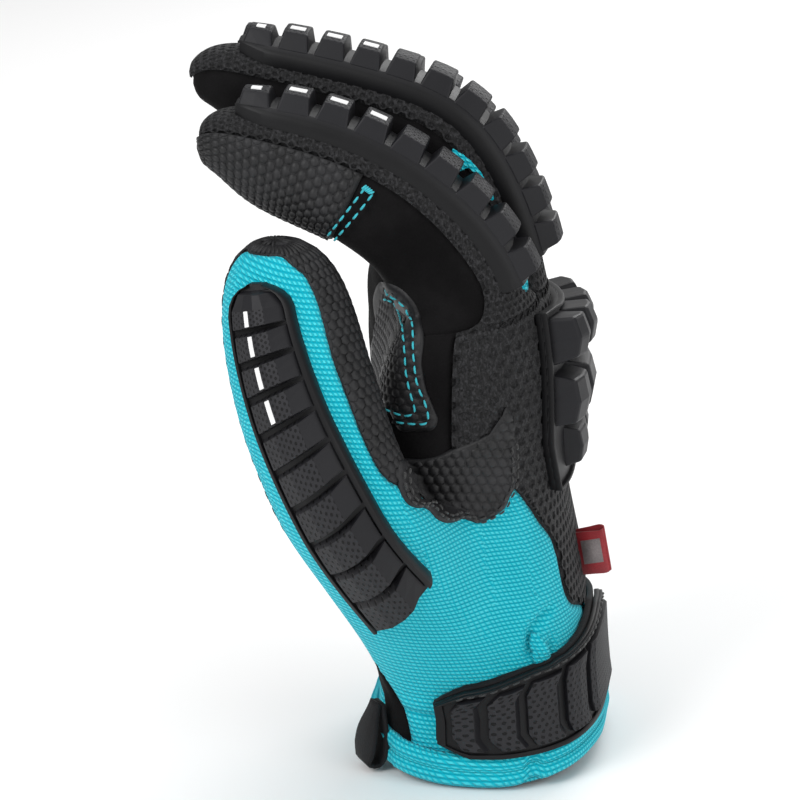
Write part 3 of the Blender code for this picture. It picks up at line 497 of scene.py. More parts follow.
class Skin:
    """The smoothed hand: fine points and normals, and fine faces with their tube, place and panel."""

    def __init__(self, cage, levels):
        self.cage, self.scales = cage, cloth_scales(cage)
        labels = list(cage.faces)
        mesh = bpy.data.meshes.new("skin")
        mesh.from_pydata([tuple(p) for p in cage.points], [], [cage.faces[k] for k in labels])
        cell = mesh.attributes.new("cell", "INT", "FACE")
        place = mesh.uv_layers.new(name="place")
        for number, (polygon, (_, row, column)) in enumerate(zip(mesh.polygons, labels)):
            cell.data[number].value = number
            corners = ((column, row), (column + 1, row), (column + 1, row + 1), (column, row + 1))
            if polygon.loop_total == 3:
                corners = (*corners[:2], (column + 0.5, row + 1))
            for loop, corner in zip(polygon.loop_indices, corners):
                place.data[loop].uv = corner
        item = bpy.data.objects.new("skin", mesh)
        bpy.context.scene.collection.objects.link(item)
        rounding = item.modifiers.new("smooth", "SUBSURF")
        rounding.levels, rounding.uv_smooth = levels, "NONE"
        fine = bpy.data.meshes.new_from_object(item.evaluated_get(bpy.context.evaluated_depsgraph_get()))
        bpy.data.objects.remove(item)
        self.points = [v.co + v.normal * SWELL for v in fine.vertices]
        self.faces = [tuple(p.vertices) for p in fine.polygons]
        self.labels = [labels[value.value] for value in fine.attributes["cell"].data]
        places = fine.uv_layers["place"].data
        self.places = [[tuple(places[k].uv) for k in p.loop_indices] for p in fine.polygons]
        bpy.data.meshes.remove(fine)
        self.points = [p + Vector((0, 0, mouth_rise(p.x) * (1 - p.z / MOUTH_REACH))) if p.z < MOUTH_REACH else p
                       for p in self.points]
        self.refresh()
        self.press(FOLDS)
        self.panels = [panel_rule(self, k) for k in range(len(self.faces))]
        self.even_borders()

    def refresh(self):
        total = [Vector() for _ in self.points]
        for face in self.faces:
            p = [self.points[k] for k in face]
            normal = (p[2] - p[0]).cross(p[-1] - p[1])
            for k in face:
                total[k] += normal
        self.normals = [n.normalized() for n in total]
        self.tree = BVHTree.FromPolygons(self.points, self.faces)

    def centre(self, index):
        face = self.faces[index]
        return sum((self.points[k] for k in face), Vector()) / len(face)

    def middle(self, index):
        spots = self.places[index]
        return sum(s[0] for s in spots) / len(spots), sum(s[1] for s in spots) / len(spots)

    def facing(self, index):
        return self.normals[self.faces[index][0]].dot(BACK)

    def cloth(self, tube, place, shift=0):
        """Cloth coordinates in metres of a place, by column and row, on a tube."""
        width, lengths = self.scales[tube]
        row = min(max(place[1], 0.0), len(lengths) - 1.001)
        low = int(row)
        return (place[0] + shift) * width, lengths[low] + (lengths[low + 1] - lengths[low]) * (row - low)

    def seat(self, point, normal, reach=0.02):
        """How far the surface lies from a point along a normal."""
        hit = self.tree.ray_cast(point + normal * reach, -normal, 2 * reach)
        return reach - hit[3] if hit[0] is not None else 0.0

    def over_palm(self, column, height, lift=0.0):
        """A place over the smooth hand by palm column and height in hand lengths, and its normal."""
        point, normal = self.cage.place(column, height)
        return point + normal * (self.seat(point, normal) + lift), normal

    def press(self, lines):
        """Folds: each is a line in the photograph's frame, its depth and its width. Positive depth sinks."""
        for line, depth, width in lines:
            spots = []
            for (ax, ay), (bx, by) in zip(line, line[1:]):
                steps = max(2, int(math.hypot(bx - ax, by - ay) / 3))
                for k in range(steps):
                    hit = seen(self.tree, ax + (bx - ax) * k / steps, ay + (by - ay) * k / steps)
                    if hit:
                        spots.append(hit[0])
            tree = tree_of(spots)
            for k, point in enumerate(self.points):
                _, index, distance = tree.find(point)
                if distance < width * 3:
                    ends = min(1.0, 0.25 + min(index, len(spots) - 1 - index) / (0.2 * len(spots)))
                    sink = depth * ends * math.exp(-(distance / width) ** 2)
                    self.points[k] = point - self.normals[k] * sink
        self.refresh()

    def even_borders(self, rounds=14):
        """Slide the points of the panels' borders along the surface until the borders run smooth."""
        sides = {}
        for face, label in zip(self.faces, self.panels):
            for a, b in ring_pairs(face):
                sides.setdefault((min(a, b), max(a, b)), set()).add(label)
        chain, around = {}, {}
        for (a, b), labels in sides.items():
            for near in (chain, around) if len(labels) > 1 else (around,):
                near.setdefault(a, []).append(b)
                near.setdefault(b, []).append(a)
        loose = {k for k, near in chain.items() if len(near) == 2}
        near_by = {j for k in loose for j in around[k]} - set(chain)
        near_by |= {j for k in near_by for j in around[k]} - set(chain)
        for _ in range(rounds):
            moved = {}
            for k in loose:
                a, b = chain[k]
                moved[k] = self.points[k] * 0.4 + (self.points[a] + self.points[b]) * 0.3
            for k in near_by:
                mean = sum((self.points[j] for j in around[k]), Vector()) / len(around[k])
                moved[k] = self.points[k] * 0.6 + mean * 0.4
            for k, point in moved.items():
                self.points[k] = self.tree.find_nearest(point)[0]
        self.refresh()


def tree_of(points):
    tree = KDTree(max(1, len(points)))
    for k, point in enumerate(points):
        tree.insert(point, k)
    tree.balance()
    return tree


def mouth_rise(x):
    return MOUTH_RISE * min(1.3, ((x - MOUTH_MIDDLE) / MOUTH_HALF) ** 2)


def smooth_step(value):
    value = min(1.0, max(0.0, value))
    return value * value * (3 - 2 * value)


def panel_rule(skin, index):
    """Which panel a fine face belongs to, by its tube, column and row."""
    tube, row, _ = skin.labels[index]
    c, r = skin.middle(index)
    x, y = frame_point(skin.centre(index))
    if tube == "thumb":
        edge = 3.05 - 0.05 * r if r < 8 else 2.65 - (r - 8) * 0.9
        below = y > 484 + (x - 396) * 0.42 and x > 380 and skin.facing(index) > 0
        return "thumb_back" if below or r < 9.4 and (c < edge or c > 12.9) else "thumb_front"
    if tube != "palm":
        return "back" if c < 3.62 or c > 11.38 else tube
    low = min(int(r), len(HEIGHTS) - 2)
    height = HEIGHTS[low] + (HEIGHTS[low + 1] - HEIGHTS[low]) * (r - low)
    around = c - COLUMNS if c > 24 else c
    if -5 < around < -0.5 and 0.8 < r < 5 and x < between(WEDGE, y):
        return "palm"
    if r < CUFF_ROWS:
        return "cuff"
    if -5 < around < -0.5 and r < 5:
        return "thumb_back"
    if -1.2 < around < 6:
        if y < between(MESH_LINE, x) and height > 0.25:
            return "back"
    elif 6 <= around <= 13.2 and height > between(MESH_EDGE, 12 - around) and around < 12.6:
        return "back"
    if around > 14 or around < -3 or (row > 6 and (around > 12.9 or around < -0.4)):
        return "palm"
    return "thumb_back" if around < 6 else "side"


def weave(p, across=False):
    """Cloth coordinates of a place: the knit's rows run round the hand and tilt like the photograph's."""
    tilt = 0.22 * smooth_step((0.10 - p.z) / 0.09) - 0.16
    return (p.y, p.z) if across else (p.x + 0.3 * p.y, p.z - tilt * p.x * 0.9)


def panel(skin, name, label, look, replaces, welt=0.0, ripple=0.0, roll=0.0007, reach=0.0024):
    """A sewn panel: the skin's faces of one label, rolled down to the seam all round."""
    chosen = [k for k, found in enumerate(skin.panels) if found == label]
    sides = dict.fromkeys(edge for k in chosen for edge in ring_pairs(skin.faces[k]))
    border = [edge for edge in sides if edge[::-1] not in sides]
    ends = tree_of([skin.points[k] for k in sorted({k for edge in border for k in edge})])
    body, pairs = Body(), {}
    for k in sorted({j for index in chosen for j in skin.faces[index]}):
        p, n = skin.points[k], skin.normals[k]
        distance = ends.find(p)[2]
        drop = roll * (1 - min(1.0, distance / reach)) ** 2
        drop += welt * math.exp(-((distance - 0.0042) / 0.0007) ** 2)
        wave = ripple * math.sin(p.x * 410 + p.z * 230) * math.sin(p.y * 300 - p.z * 350)
        wave *= smooth_step(distance / 0.006)
        pairs[k] = (body.add(p + n * (wave - drop)), body.add(p - n * WALL))
    for index in chosen:
        face = skin.faces[index]
        across = abs(skin.normals[face[0]].x) > 0.72
        coords = [weave(skin.points[k], across) for k in face]
        body.face([pairs[k][0] for k in face], 0, coords)
        body.face([pairs[k][1] for k in reversed(face)], 1, coords[::-1])
    for a, b in border:
        body.face([pairs[a][0], pairs[a][1], pairs[b][1], pairs[b][0]], 0, [(0, 0)] * 4)
    body.link(name, [LOOKS[look], LOOKS["lining"]], look, [replaces], turn=False, fill=0.3)


def index_tip(skin):
    """The honeycomb leather over the index fingertip, a layer on the finger's suede."""
    chosen = [k for k, name in enumerate(skin.panels) if name == "index" and skin.middle(k)[1] > 6.5]
    edges = {edge for k in chosen for edge in ring_pairs(skin.faces[k])}
    border = [(a, b) for a, b in edges if (b, a) not in edges]
    rim = {k for edge in border for k in edge}
    body, pairs = Body(), {}
    for k in sorted({j for index in chosen for j in skin.faces[index]}):
        p, n = skin.points[k], skin.normals[k]
        pairs[k] = (body.add(p + n * (0.0004 if k in rim else 0.0009)), body.add(p - n * 0.0003))
    for k in chosen:
        body.face([pairs[j][0] for j in skin.faces[k]])
        body.face([pairs[j][1] for j in reversed(skin.faces[k])])
    for a, b in border:
        body.face([pairs[a][0], pairs[a][1], pairs[b][1], pairs[b][0]])
    body.link("index_tip", [LOOKS["leather"]], "leather", ["index_patch"], turn=False, fill=0.2)


class ClothMap:
    """Finds the surface at cloth coordinates over the skin's faces of one label."""

    def __init__(self, skin, label, rule=None, lift=0.0, wrap=99):
        spots, self.solid, self.normal = [], [], []
        for index, name in enumerate(skin.panels):
            if name != label or (rule and not rule(index)):
                continue
            tube = skin.labels[index][0]
            turn = {"palm": COLUMNS, "thumb": THUMB_RING}.get(tube, FINGER_RING)
            shift = -turn if skin.middle(index)[0] > wrap else 0
            uvs = [skin.cloth(tube, place, shift) for place in skin.places[index]]
            face = skin.faces[index]
            for trio in ((0, 1, 2), (0, 2, 3))[: len(face) - 2]:
                for k in trio:
                    spots.append(uvs[k])
                    self.solid.append(skin.points[face[k]] + skin.normals[face[k]] * lift)
                    self.normal.append(skin.normals[face[k]])
        self.low, self.high = [min(axis) for axis in zip(*spots)], [max(axis) for axis in zip(*spots)]
        self.flat = [Vector((*spot, 0)) for spot in spots]
        self.tree = BVHTree.FromPolygons(self.flat, [(k, k + 1, k + 2) for k in range(0, len(spots), 3)])

    def at(self, u, v):
        spot, _, index, _ = self.tree.ray_cast(Vector((u, v, 1)), Vector((0, 0, -1)))
        if spot is None:
            return None
        trio = slice(3 * index, 3 * index + 3)
        flat = self.flat[trio]
        point = barycentric_transform(spot, *flat, *self.solid[trio])
        return point, barycentric_transform(spot, *flat, *self.normal[trio]).normalized()


class FrameMap:
    """Finds the surface at places in the photograph's plane, in metres, inside an outline of its pixels."""

    def __init__(self, tree, outline):
        self.tree, self.outline, self.scale = tree, outline, FRAME_WIDTH / PIXELS
        self.low, self.high = ([edge(axis) * self.scale for axis in zip(*outline)] for edge in (min, max))

    def at(self, u, v):
        x, y = u / self.scale, v / self.scale
        return seen(self.tree, x, y) if inside(x, y, self.outline) else None


def inside(x, y, outline):
    odd = False
    for (ax, ay), (bx, by) in ring_pairs(outline):
        if (ay > y) != (by > y) and x < (bx - ax) * (y - ay) / (by - ay) + ax:
            odd = not odd
    return odd


def smooth_line(points, closed=False, steps=6):
    """A line through the points, rounded between them."""
    count = len(points)
    spots = []
    for k in range(count if closed else count - 1):
        near = [(k + j) % count if closed else min(max(k + j, 0), count - 1) for j in (-1, 0, 1, 2)]
        for t in [s / steps for s in range(steps)]:
            spots.append(tuple(
                0.5 * (2 * b + (c - a) * t + (2 * a - 5 * b + 4 * c - d) * t * t + (3 * b - a - 3 * c + d) * t ** 3)
                for a, b, c, d in zip(*[points[j] for j in near])))
    return spots if closed else spots + [tuple(points[-1])]


def honeycomb(place, pitch, shape, name, look, slot):
    """Six-sided cells over a map. A dome stands up; a hole is a raised rim round a pit."""
    body = Body()
    rise, size = pitch * math.sqrt(3) / 2, pitch / math.sqrt(3)
    angles = [math.radians(60 * k + 30) for k in range(6)]
    for row in range(int((place.high[1] - place.low[1]) / rise) + 2):
        v = place.low[1] + row * rise
        for column in range(int((place.high[0] - place.low[0]) / pitch) + 2):
            u = place.low[0] + (column + 0.5 * (row % 2)) * pitch
            middle = place.at(u, v)
            if not middle:
                continue
            corners = []
            for du, dv in [(math.cos(a) * size, math.sin(a) * size) for a in angles]:
                share = 1.0
                hit = place.at(u + du, v + dv)
                while not hit and share > 0.2:
                    share -= 0.12
                    hit = place.at(u + du * share, v + dv * share)
                corners.append(hit or middle)
            if max((c[0] - middle[0]).length for c in corners) <= pitch * 1.5:
                shape(body, middle, corners)
    body.link(name, [LOOKS[look]], slot)


def dome(height, rim=0.94, shoulder=0.72, lift=0.0):
    def make(body, middle, corners):
        point = middle[0] + middle[1] * lift
        corners = [(c + n * lift, n) for c, n in corners]
        base = [body.add(point.lerp(c, rim) - n * 0.0001) for c, n in corners]
        ring = [body.add(point.lerp(c, shoulder) + n * height * 0.8) for c, n in corners]
        top = body.add(point + middle[1] * height)
        for k in range(6):
            j = (k + 1) % 6
            body.face([base[k], base[j], ring[j], ring[k]])
            body.face([ring[k], ring[j], top])
    return make


def pit(height, rim=0.66, floor=0.5):
    def make(body, middle, corners):
        outer = [body.add(c + n * height * 0.85) for c, n in corners]
        ring = [body.add(middle[0].lerp(c, rim) + n * height) for c, n in corners]
        deep = [body.add(middle[0].lerp(c, floor) - n * 0.00015) for c, n in corners]
        for k in range(6):
            j = (k + 1) % 6
            body.face([outer[k], outer[j], ring[j], ring[k]])
            body.face([ring[k], ring[j], deep[j], deep[k]])
    return make


def patch(skin, name, outline, look, replaces=(), thick=0.0010, rings=7):
    """A flat patch laid on the surface inside an outline in the photograph's frame."""
    outline = smooth_line(outline, closed=True)
    cx, cy = (sum(axis) / len(outline) for axis in zip(*outline))
    body = Body()
    loops = []
    for ring in range(rings + 1):
        share = 1 - ring / rings if ring < rings else 0.02
        share = 1 - (1 - share) ** 1.3 if ring else 1.0
        row = []
        for x, y in outline:
            hit, reach = None, share
            while not hit and reach > 0.01:
                hit = seen(skin.tree, cx + (x - cx) * reach, cy + (y - cy) * reach)
                reach -= 0.015
            row.append(hit)
        height = thick * (1.0 if ring else 0.35)
        loops.append([body.add(p + n * height) for p, n in row])
        if not ring:
            edge = row
    low = [body.add(p - n * 0.0004) for p, n in edge]
    body.bands(loops)
    body.face(loops[-1])
    body.coords = [[weave(Vector(body.points[k])) for k in face] for face in body.faces]
    body.bands([low, loops[0]])
    body.link(name, [LOOKS[look]], look, replaces, fill=0.1)


# A stitch's cross-sections: the share of its length, its size and its height in radii
STITCH_SHAPE = ((0, 0.35, -0.2), (0.18, 1, 0.5), (0.5, 1.05, 0.75), (0.82, 1, 0.5), (1, 0.35, -0.2))


def stitch_row(body, spots, length=0.0021, gap=0.0009, radius=0.00028):
    """Short thread stitches along surface spots, each a point and a normal."""
    places = [0.0]
    for (a, _), (b, _) in zip(spots, spots[1:]):
        places.append(places[-1] + (b - a).length)

    def along(distance):
        for k, (low, high) in enumerate(zip(places, places[1:])):
            if distance <= high:
                t = (distance - low) / max(1e-9, high - low)
                return spots[k][0].lerp(spots[k + 1][0], t), spots[k][1].lerp(spots[k + 1][1], t).normalized()
        return spots[-1]

    start = 0.0
    while start + length < places[-1]:
        rings = []
        way = (along(start + length)[0] - along(start)[0]).normalized()
        for share, size, height in STITCH_SHAPE:
            point, normal = along(start + length * share)
            side = way.cross(normal).normalized()
            point = point + normal * radius * height
            rings.append([point + (side * math.cos(a) + normal * math.sin(a)) * radius * size
                          for a in (math.radians(60 * k) for k in range(6))])
        loft(body, rings)
        start += length + gap


def frame_spots(skin, line, lift):
    """Places over the surface behind a rounded line in the photograph's frame, with their normals."""
    hits = [seen(skin.tree, x, y) for x, y in smooth_line(line, steps=8)]
    return [(point + normal * lift, normal) for point, normal in filter(None, hits)]


class Value:
    """A shader value that arithmetic can be written with."""

    def __init__(self, tree, socket):
        self.tree, self.socket = tree, socket

    def made(self, operation, *others):
        node = self.tree.nodes.new("ShaderNodeMath")
        node.operation = operation
        for slot, value in zip(node.inputs, (self, *others)):
            if isinstance(value, Value):
                self.tree.links.new(value.socket, slot)
            else:
                slot.default_value = value
        return Value(self.tree, node.outputs[0])

    def __add__(self, other):
        return self.made("ADD", other)

    def __sub__(self, other):
        return self.made("SUBTRACT", other)

    def __mul__(self, other):
        return self.made("MULTIPLY", other)

    def ramp(self, low, high):
        node = self.tree.nodes.new("ShaderNodeMapRange")
        node.interpolation_type = "SMOOTHSTEP"
        self.tree.links.new(self.socket, node.inputs[0])
        node.inputs[1].default_value, node.inputs[2].default_value = low, high
        return Value(self.tree, node.outputs[0])


class Look:
    """A procedural material: colours mixed by patterns, with bump and roughness from them."""

    def __init__(self, name, roughness, sheen, specular):
        self.material = bpy.data.materials.new(name)
        self.material.use_nodes = True
        self.tree = self.material.node_tree
        self.shader = self.tree.nodes["Principled BSDF"]
        for socket, value in (("Roughness", roughness), ("Specular IOR Level", specular), ("Sheen Weight", sheen),
                              ("Sheen Roughness", 0.45)):
            self.shader.inputs[socket].default_value = value
        self.where = self.tree.nodes.new("ShaderNodeTexCoord").outputs["Object"]

    def texture(self, kind, output, source, **values):
        node = self.tree.nodes.new(kind)
        for name, value in values.items():
            node.inputs[name.title()].default_value = value
        self.tree.links.new(source, node.inputs["Vector"])
        return Value(self.tree, node.outputs[output])

    def noise(self, scale, detail=3.0, rough=0.55, stretch=(1, 1, 1)):
        source = self.texture("ShaderNodeMapping", 0, self.where, scale=stretch).socket
        return self.texture("ShaderNodeTexNoise", 0, source, scale=scale, detail=detail, roughness=rough)

    def cells(self, scale):
        return self.texture("ShaderNodeTexVoronoi", "Distance", self.where, scale=scale)

    def cloth(self):
        node = self.tree.nodes.new("ShaderNodeUVMap")
        node.uv_map = "weave"
        parts = self.tree.nodes.new("ShaderNodeSeparateXYZ")
        self.tree.links.new(node.outputs[0], parts.inputs[0])
        return Value(self.tree, parts.outputs[0]), Value(self.tree, parts.outputs[1])

    def colour(self, pattern, low, high):
        ramp = self.tree.nodes.new("ShaderNodeValToRGB")
        for stop, colour in zip(ramp.color_ramp.elements, (low, high)):
            stop.color = (*colour, 1)
        self.tree.links.new(pattern.socket, ramp.inputs[0])
        self.tree.links.new(ramp.outputs[0], self.shader.inputs["Base Color"])
        return ramp.color_ramp.elements

    def rough(self, pattern, low, high):
        node = self.tree.nodes.new("ShaderNodeMapRange")
        self.tree.links.new(pattern.socket, node.inputs[0])
        node.inputs[3].default_value, node.inputs[4].default_value = low, high
        self.tree.links.new(node.outputs[0], self.shader.inputs["Roughness"])

    def bump(self, pattern, height, strength=1.0):
        node = self.tree.nodes.new("ShaderNodeBump")
        node.inputs["Distance"].default_value, node.inputs["Strength"].default_value = height, strength
        self.tree.links.new(pattern.socket, node.inputs["Height"])
        before = self.shader.inputs["Normal"].links
        if before:
            self.tree.links.new(before[0].from_socket, node.inputs["Normal"])
        self.tree.links.new(node.outputs[0], self.shader.inputs["Normal"])


def knit_look():
    """Teal knit: short slanted stitches in rows, with painted highlight on their crests and painted shade between
    rows.
    """
    look = Look("teal_knit", 0.85, 0.08, 0.16)
    u, v = look.cloth()
    row = v * (1 / 0.00118)
    up = row.made("FRACT")
    along = (u * (1 / 0.00125) + row.made("FLOOR") * 0.5 + up * 0.6).made("FRACT")
    across = (up - 0.5).made("ABSOLUTE").ramp(0.46, 0.16)
    stitch = across * (along - 0.5).made("ABSOLUTE").ramp(0.44, 0.20)
    wear, fuzz = look.noise(60, 2.0), look.noise(2600, 2.0)
    # The tone drives the colour ramp: the row and stitch masks put painted highlight on the stitch crests and
    # painted shade in the gaps between rows; wear and fuzz vary the yarn's own tone.
    tone = across * 0.36 + stitch * 0.38 + fuzz * 0.16 + wear * 0.22 - 0.08
    look.colour(tone, (0.0, 0.27, 0.37), (0.08, 0.70, 0.78)).new(0.42).color = (0.0, 0.46, 0.58, 1)
    look.rough(stitch, 0.92, 0.66)
    look.bump(stitch, 0.00035, 0.9)
    look.bump(fuzz, 0.00008, 0.5)
    return look.material


def mesh_look():
    """Black spacer mesh: knobbly dark threads with grey glints."""
    look = Look("air_mesh", 0.72, 0.05, 0.28)
    knots, threads = look.cells(1150), look.noise(1700, 3.0, 0.7, (1, 1, 0.55))
    tone = threads.ramp(0.42, 0.72) * 0.85 + knots * 0.15
    look.colour(tone, (0.0022, 0.0022, 0.0025), (0.034, 0.034, 0.037))
    look.bump(threads, 0.0004, 0.9)
    look.bump(knots, 0.0002, 0.5)
    return look.material


def suede_look():
    look = Look("suede", 0.93, 0.04, 0.08)
    nap, worn = look.noise(1900, 3.0, 0.65), look.noise(48, 4.0, 0.6)
    tone = nap * 0.35 + worn.ramp(0.35, 0.75) * 0.65
    look.colour(tone, (0.0022, 0.0020, 0.0022), (0.0095, 0.0090, 0.0095))
    look.bump(nap, 0.00018, 0.7)
    look.bump(worn, 0.0012, 0.5)
    return look.material


def leather_look(name, low, high):
    look = Look(name, 0.46, 0.0, 0.36)
    grain, worn = look.cells(1500), look.noise(150, 3.0)
    look.colour(worn.ramp(0.3, 0.75) * 0.7 + grain * 0.3, low, high)
    look.rough(worn, 0.42, 0.66)
    look.bump(grain, 0.0001, 0.5)
    return look.material


def rubber_look(name, low, high):
    look = Look(name, 0.46, 0.0, 0.24)
    fine, worn = look.noise(2200, 2.0), look.noise(70, 3.0)
    look.colour(worn * 0.7 + fine * 0.3, low, high)
    look.rough(worn, 0.40, 0.56)
    look.bump(fine, 0.00004, 0.5)
    return look.material


def dotted_look():
    """Moulded rubber with staggered round pits, coloured near black as painted shade, and painted light on the tops
    between them.
    """
    look = Look("rubber_dotted", 0.58, 0.0, 0.26)
    u, v = look.cloth()
    row = v * (1 / 0.00115)
    x = (u * (1 / 0.00155) + row.made("FLOOR") * 0.5).made("FRACT") - 0.5
    y = row.made("FRACT") - 0.5
    solid = (x * x * 1.7 + y * y).made("POWER", 0.5).ramp(0.20, 0.33)
    # Colour: painted shade in the pits, and the raised rubber between them lighter than the plain rubber as painted
    # light on the tops.
    look.colour(solid * 0.8 + look.noise(90, 3.0) * 0.2, (0.0008, 0.0008, 0.0010), (0.019, 0.019, 0.022))
    look.bump(solid, 0.0006, 1.0)
    return look.material


def fibre_look(name, low, high, surface=(0.6, 0.2, 0.5), grain=(3000, 2.0), relief=(0.00008, 0.6)):
    """Thread, tape, webbing or lining: one fine noise for its colour and its relief."""
    look = Look(name, *surface)
    fibres = look.noise(*grain)
    look.colour(fibres, low, high)
    look.bump(fibres, *relief)
    return look.material


LOOKS = {
    "knit": knit_look(),
    "lining": fibre_look("lining", (0.010, 0.010, 0.011), (0.035, 0.035, 0.038), (0.9, 0.2, 0.2), (1500, 2.0),
                         (0.0001, 0.6)),
    "mesh": mesh_look(),
    "suede": suede_look(),
    "leather": leather_look("leather", (0.0045, 0.0045, 0.005), (0.016, 0.016, 0.018)),
    "cells": leather_look("leather_cells", (0.005, 0.005, 0.0055), (0.019, 0.019, 0.021)),
    "thread": fibre_look("turquoise_thread", (0.0, 0.28, 0.36), (0.04, 0.55, 0.62)),
    "black_thread": fibre_look("black_thread", (0.004, 0.004, 0.004), (0.03, 0.03, 0.03)),
    "webbing": fibre_look("webbing", (0.0025, 0.0025, 0.003), (0.013, 0.013, 0.0145), (0.78, 0.05, 0.2),
                          (1400, 2.0, 0.5, (1, 1, 2.5)), (0.0002, 0.7)),
    "red": fibre_look("red_tape", (0.16, 0.004, 0.008), (0.42, 0.02, 0.03)),
    "grey": fibre_look("grey_tape", (0.12, 0.10, 0.10), (0.26, 0.23, 0.23)),
}
# One moulded rubber in copies of different brightness: a lighter copy for the faces of teeth and blocks (painted
# light), a darker copy for the plates' edges and rims and the whole thumb and strap plates (painted shade), and the
# dotted tops lighter still (painted light).
RUBBERS = [
    rubber_look("rubber", (0.0045, 0.0045, 0.0055), (0.009, 0.009, 0.0105)),
    dotted_look(),
    rubber_look("rubber_face_painted_lighter", (0.0065, 0.0065, 0.008), (0.012, 0.012, 0.0145)),
    rubber_look("rubber_edge_painted_darker", (0.003, 0.003, 0.0035), (0.0065, 0.0065, 0.0075)),
    fibre_look("white_print", (0.72, 0.72, 0.72), (0.86, 0.86, 0.86)),
]
PLAIN, DOTS, FACE, EDGE, PRINT = range(len(RUBBERS))
DASHES = 4


def loft(body, sections, kinds=None, ends=True):
    """Joined closed cross-sections, with a material number for each side."""
    loops = [[body.add(p) for p in section] for section in sections]
    body.bands(loops, kinds)
    if ends:
        body.face(loops[0][::-1], kinds[0] if kinds else 0)
        body.face(loops[-1], kinds[0] if kinds else 0)


def brick(body, low, top, kinds, coords=None):
    """A block from two grids of points, rows by columns, with the materials of its top and of its sides."""
    top_kind, side_kind = kinds
    rows, columns = len(low), len(low[0])
    a, b = ([[body.add(p) for p in row] for row in grid] for grid in (low, top))
    for r in range(rows - 1):
        for c in range(columns - 1):
            cell = ((r, c), (r, c + 1), (r + 1, c + 1), (r + 1, c))
            body.face([b[i][j] for i, j in cell], top_kind, [coords[i][j] for i, j in cell] if coords else None)
            body.face([a[r][c], a[r + 1][c], a[r + 1][c + 1], a[r][c + 1]], side_kind)
    for r in range(rows - 1):
        body.face([a[r][0], b[r][0], b[r + 1][0], a[r + 1][0]], side_kind)
        body.face([a[r][-1], a[r + 1][-1], b[r + 1][-1], b[r][-1]], side_kind)
    for c in range(columns - 1):
        body.face([a[0][c], a[0][c + 1], b[0][c + 1], b[0][c]], side_kind)
        body.face([a[-1][c], b[-1][c], b[-1][c + 1], a[-1][c + 1]], side_kind)


def layer(body, place, columns, rows, lifts, kinds=(EDGE, EDGE), coords=None):
    """A brick between two heights over a surface, its place given by column, row and lift."""
    low, top = ([[place(c, r, lift) for c in columns] for r in rows] for lift in lifts)
    brick(body, low, top, kinds, coords)


class Strip:
    """A guard's place along a finger: its width, its seat and its crown at any share and place across."""

    def __init__(self, skin, frame, ends, width, taper, skew=0.0, arch=0.0):
        self.skin, self.frame, self.ends = skin, frame, ends
        self.width, self.taper, self.skew, self.arch = width, taper, skew, arch

    def half(self, share):
        start, end = self.ends
        if self.arch:
            t = min(0.97, max(0.0, (share - end + self.arch) / self.arch))
            return self.width / 2 * between(self.taper, min(share, end - self.arch)) * math.sqrt(1 - t * t)
        near_end = max(0.0, 1 - (end - share) / (0.10 * (end - start)))
        return self.width / 2 * between(self.taper, share) * (1 - 0.25 * near_end ** 3)

    def at(self, share, across):
        point, _, normal, side = self.frame(share + self.skew * (1 - share / self.ends[1]) * across)
        return point + side * self.half(share) * across, normal

    def seat(self, share, across):
        return self.skin.seat(*self.at(share, across)) + GUARD_GAP

    def up(self, share, across, height):
        point, normal = self.at(share, across)
        return point + normal * height

    def crown(self, share):
        return max(self.seat(share, across) for across in (-0.5, 0, 0.5)) + GUARD_PLATE

    def foot(self, share):
        return [self.up(share, x, self.seat(share, x)) for x in (-1, -0.5, 0, 0.5, 1)]


def finger_strip(skin, number):
    """A guard on a finger: a plate with a standing edge, and teeth with dotted tops."""
    finger, length, _, teeth, end = FINGERS[number]
    name, length, start = finger + "_guard", length * FINGER_LENGTH, GUARD_START
    strip = Strip(skin, lambda share: finger_frame(number, share), (start, end), 0.0165, GUARD_TAPER)
    rim = ((1, 0.0030), (0.93, 0.0034))
    bow = ((0.80, -0.0003), (0.4, 0), (0, 0.0002), (-0.4, 0), (-0.80, -0.0003))
    sections = []
    for share in spread(start, end, 4 * teeth + 3):
        crown = strip.crown(share)
        near, far = ([strip.up(share, x * side, min(crown, strip.seat(share, x * side) + height))
                      for x, height in rim] for side in (1, -1))
        sections.append(strip.foot(share) + near + [strip.up(share, x, crown + h) for x, h in bow] + far[::-1])
    plate, body, marks = Body(), Body(), Body()
    loft(plate, sections, [EDGE] * 6 + [PLAIN] * 6 + [EDGE] * 2)
    plate.link(name + "_plate", RUBBERS, "rubber", [name], bevel=0.0004)
    pitch, draft, across = (end - start) / teeth, 0.0011 / length, (-0.62, -0.3, 0, 0.3, 0.62)
    for tooth in range(teeth):
        last = tooth == teeth - 1
        small = 0.8 if last else 1.0
        low = start + pitch * (tooth + 0.09)
        feet, tops = spread(low, low + pitch * 0.86, 3), spread(low + draft, low + pitch * 0.86 - draft, 3)
        top = max(strip.crown(s) for s in feet) + 0.0042 * small
        foot = [[strip.up(s, x, strip.crown(s) - 0.0008) for x in (-0.86, -0.4, 0, 0.4, 0.86)] for s in feet]
        tall = [[strip.up(s, x * small, top - (0.0005 if abs(x) > 0.5 else 0)) for x in across] for s in tops]
        brick(body, foot, tall, (DOTS, FACE), [[(s * length, x * 0.008) for x in across] for s in tops])
        if tooth >= teeth - DASHES:
            reach = (tops[2] - tops[0]) * (0.2 if last else 0.33)
            ends = ((tops[0] + tops[2]) / 2 - reach, (tops[0] + tops[2]) / 2 + reach)
            layer(marks, lambda x, s, lift: strip.up(s, x, lift), (-0.36, -0.02), ends,
                  (top - 0.0004, top + 0.00018), (PRINT, PRINT))
    body.link(name + "_teeth", RUBBERS, "rubber", bevel=0.00045, smooth=False)
    marks.link(name + "_dashes", RUBBERS, "rubber", bevel=0.0001, smooth=False)


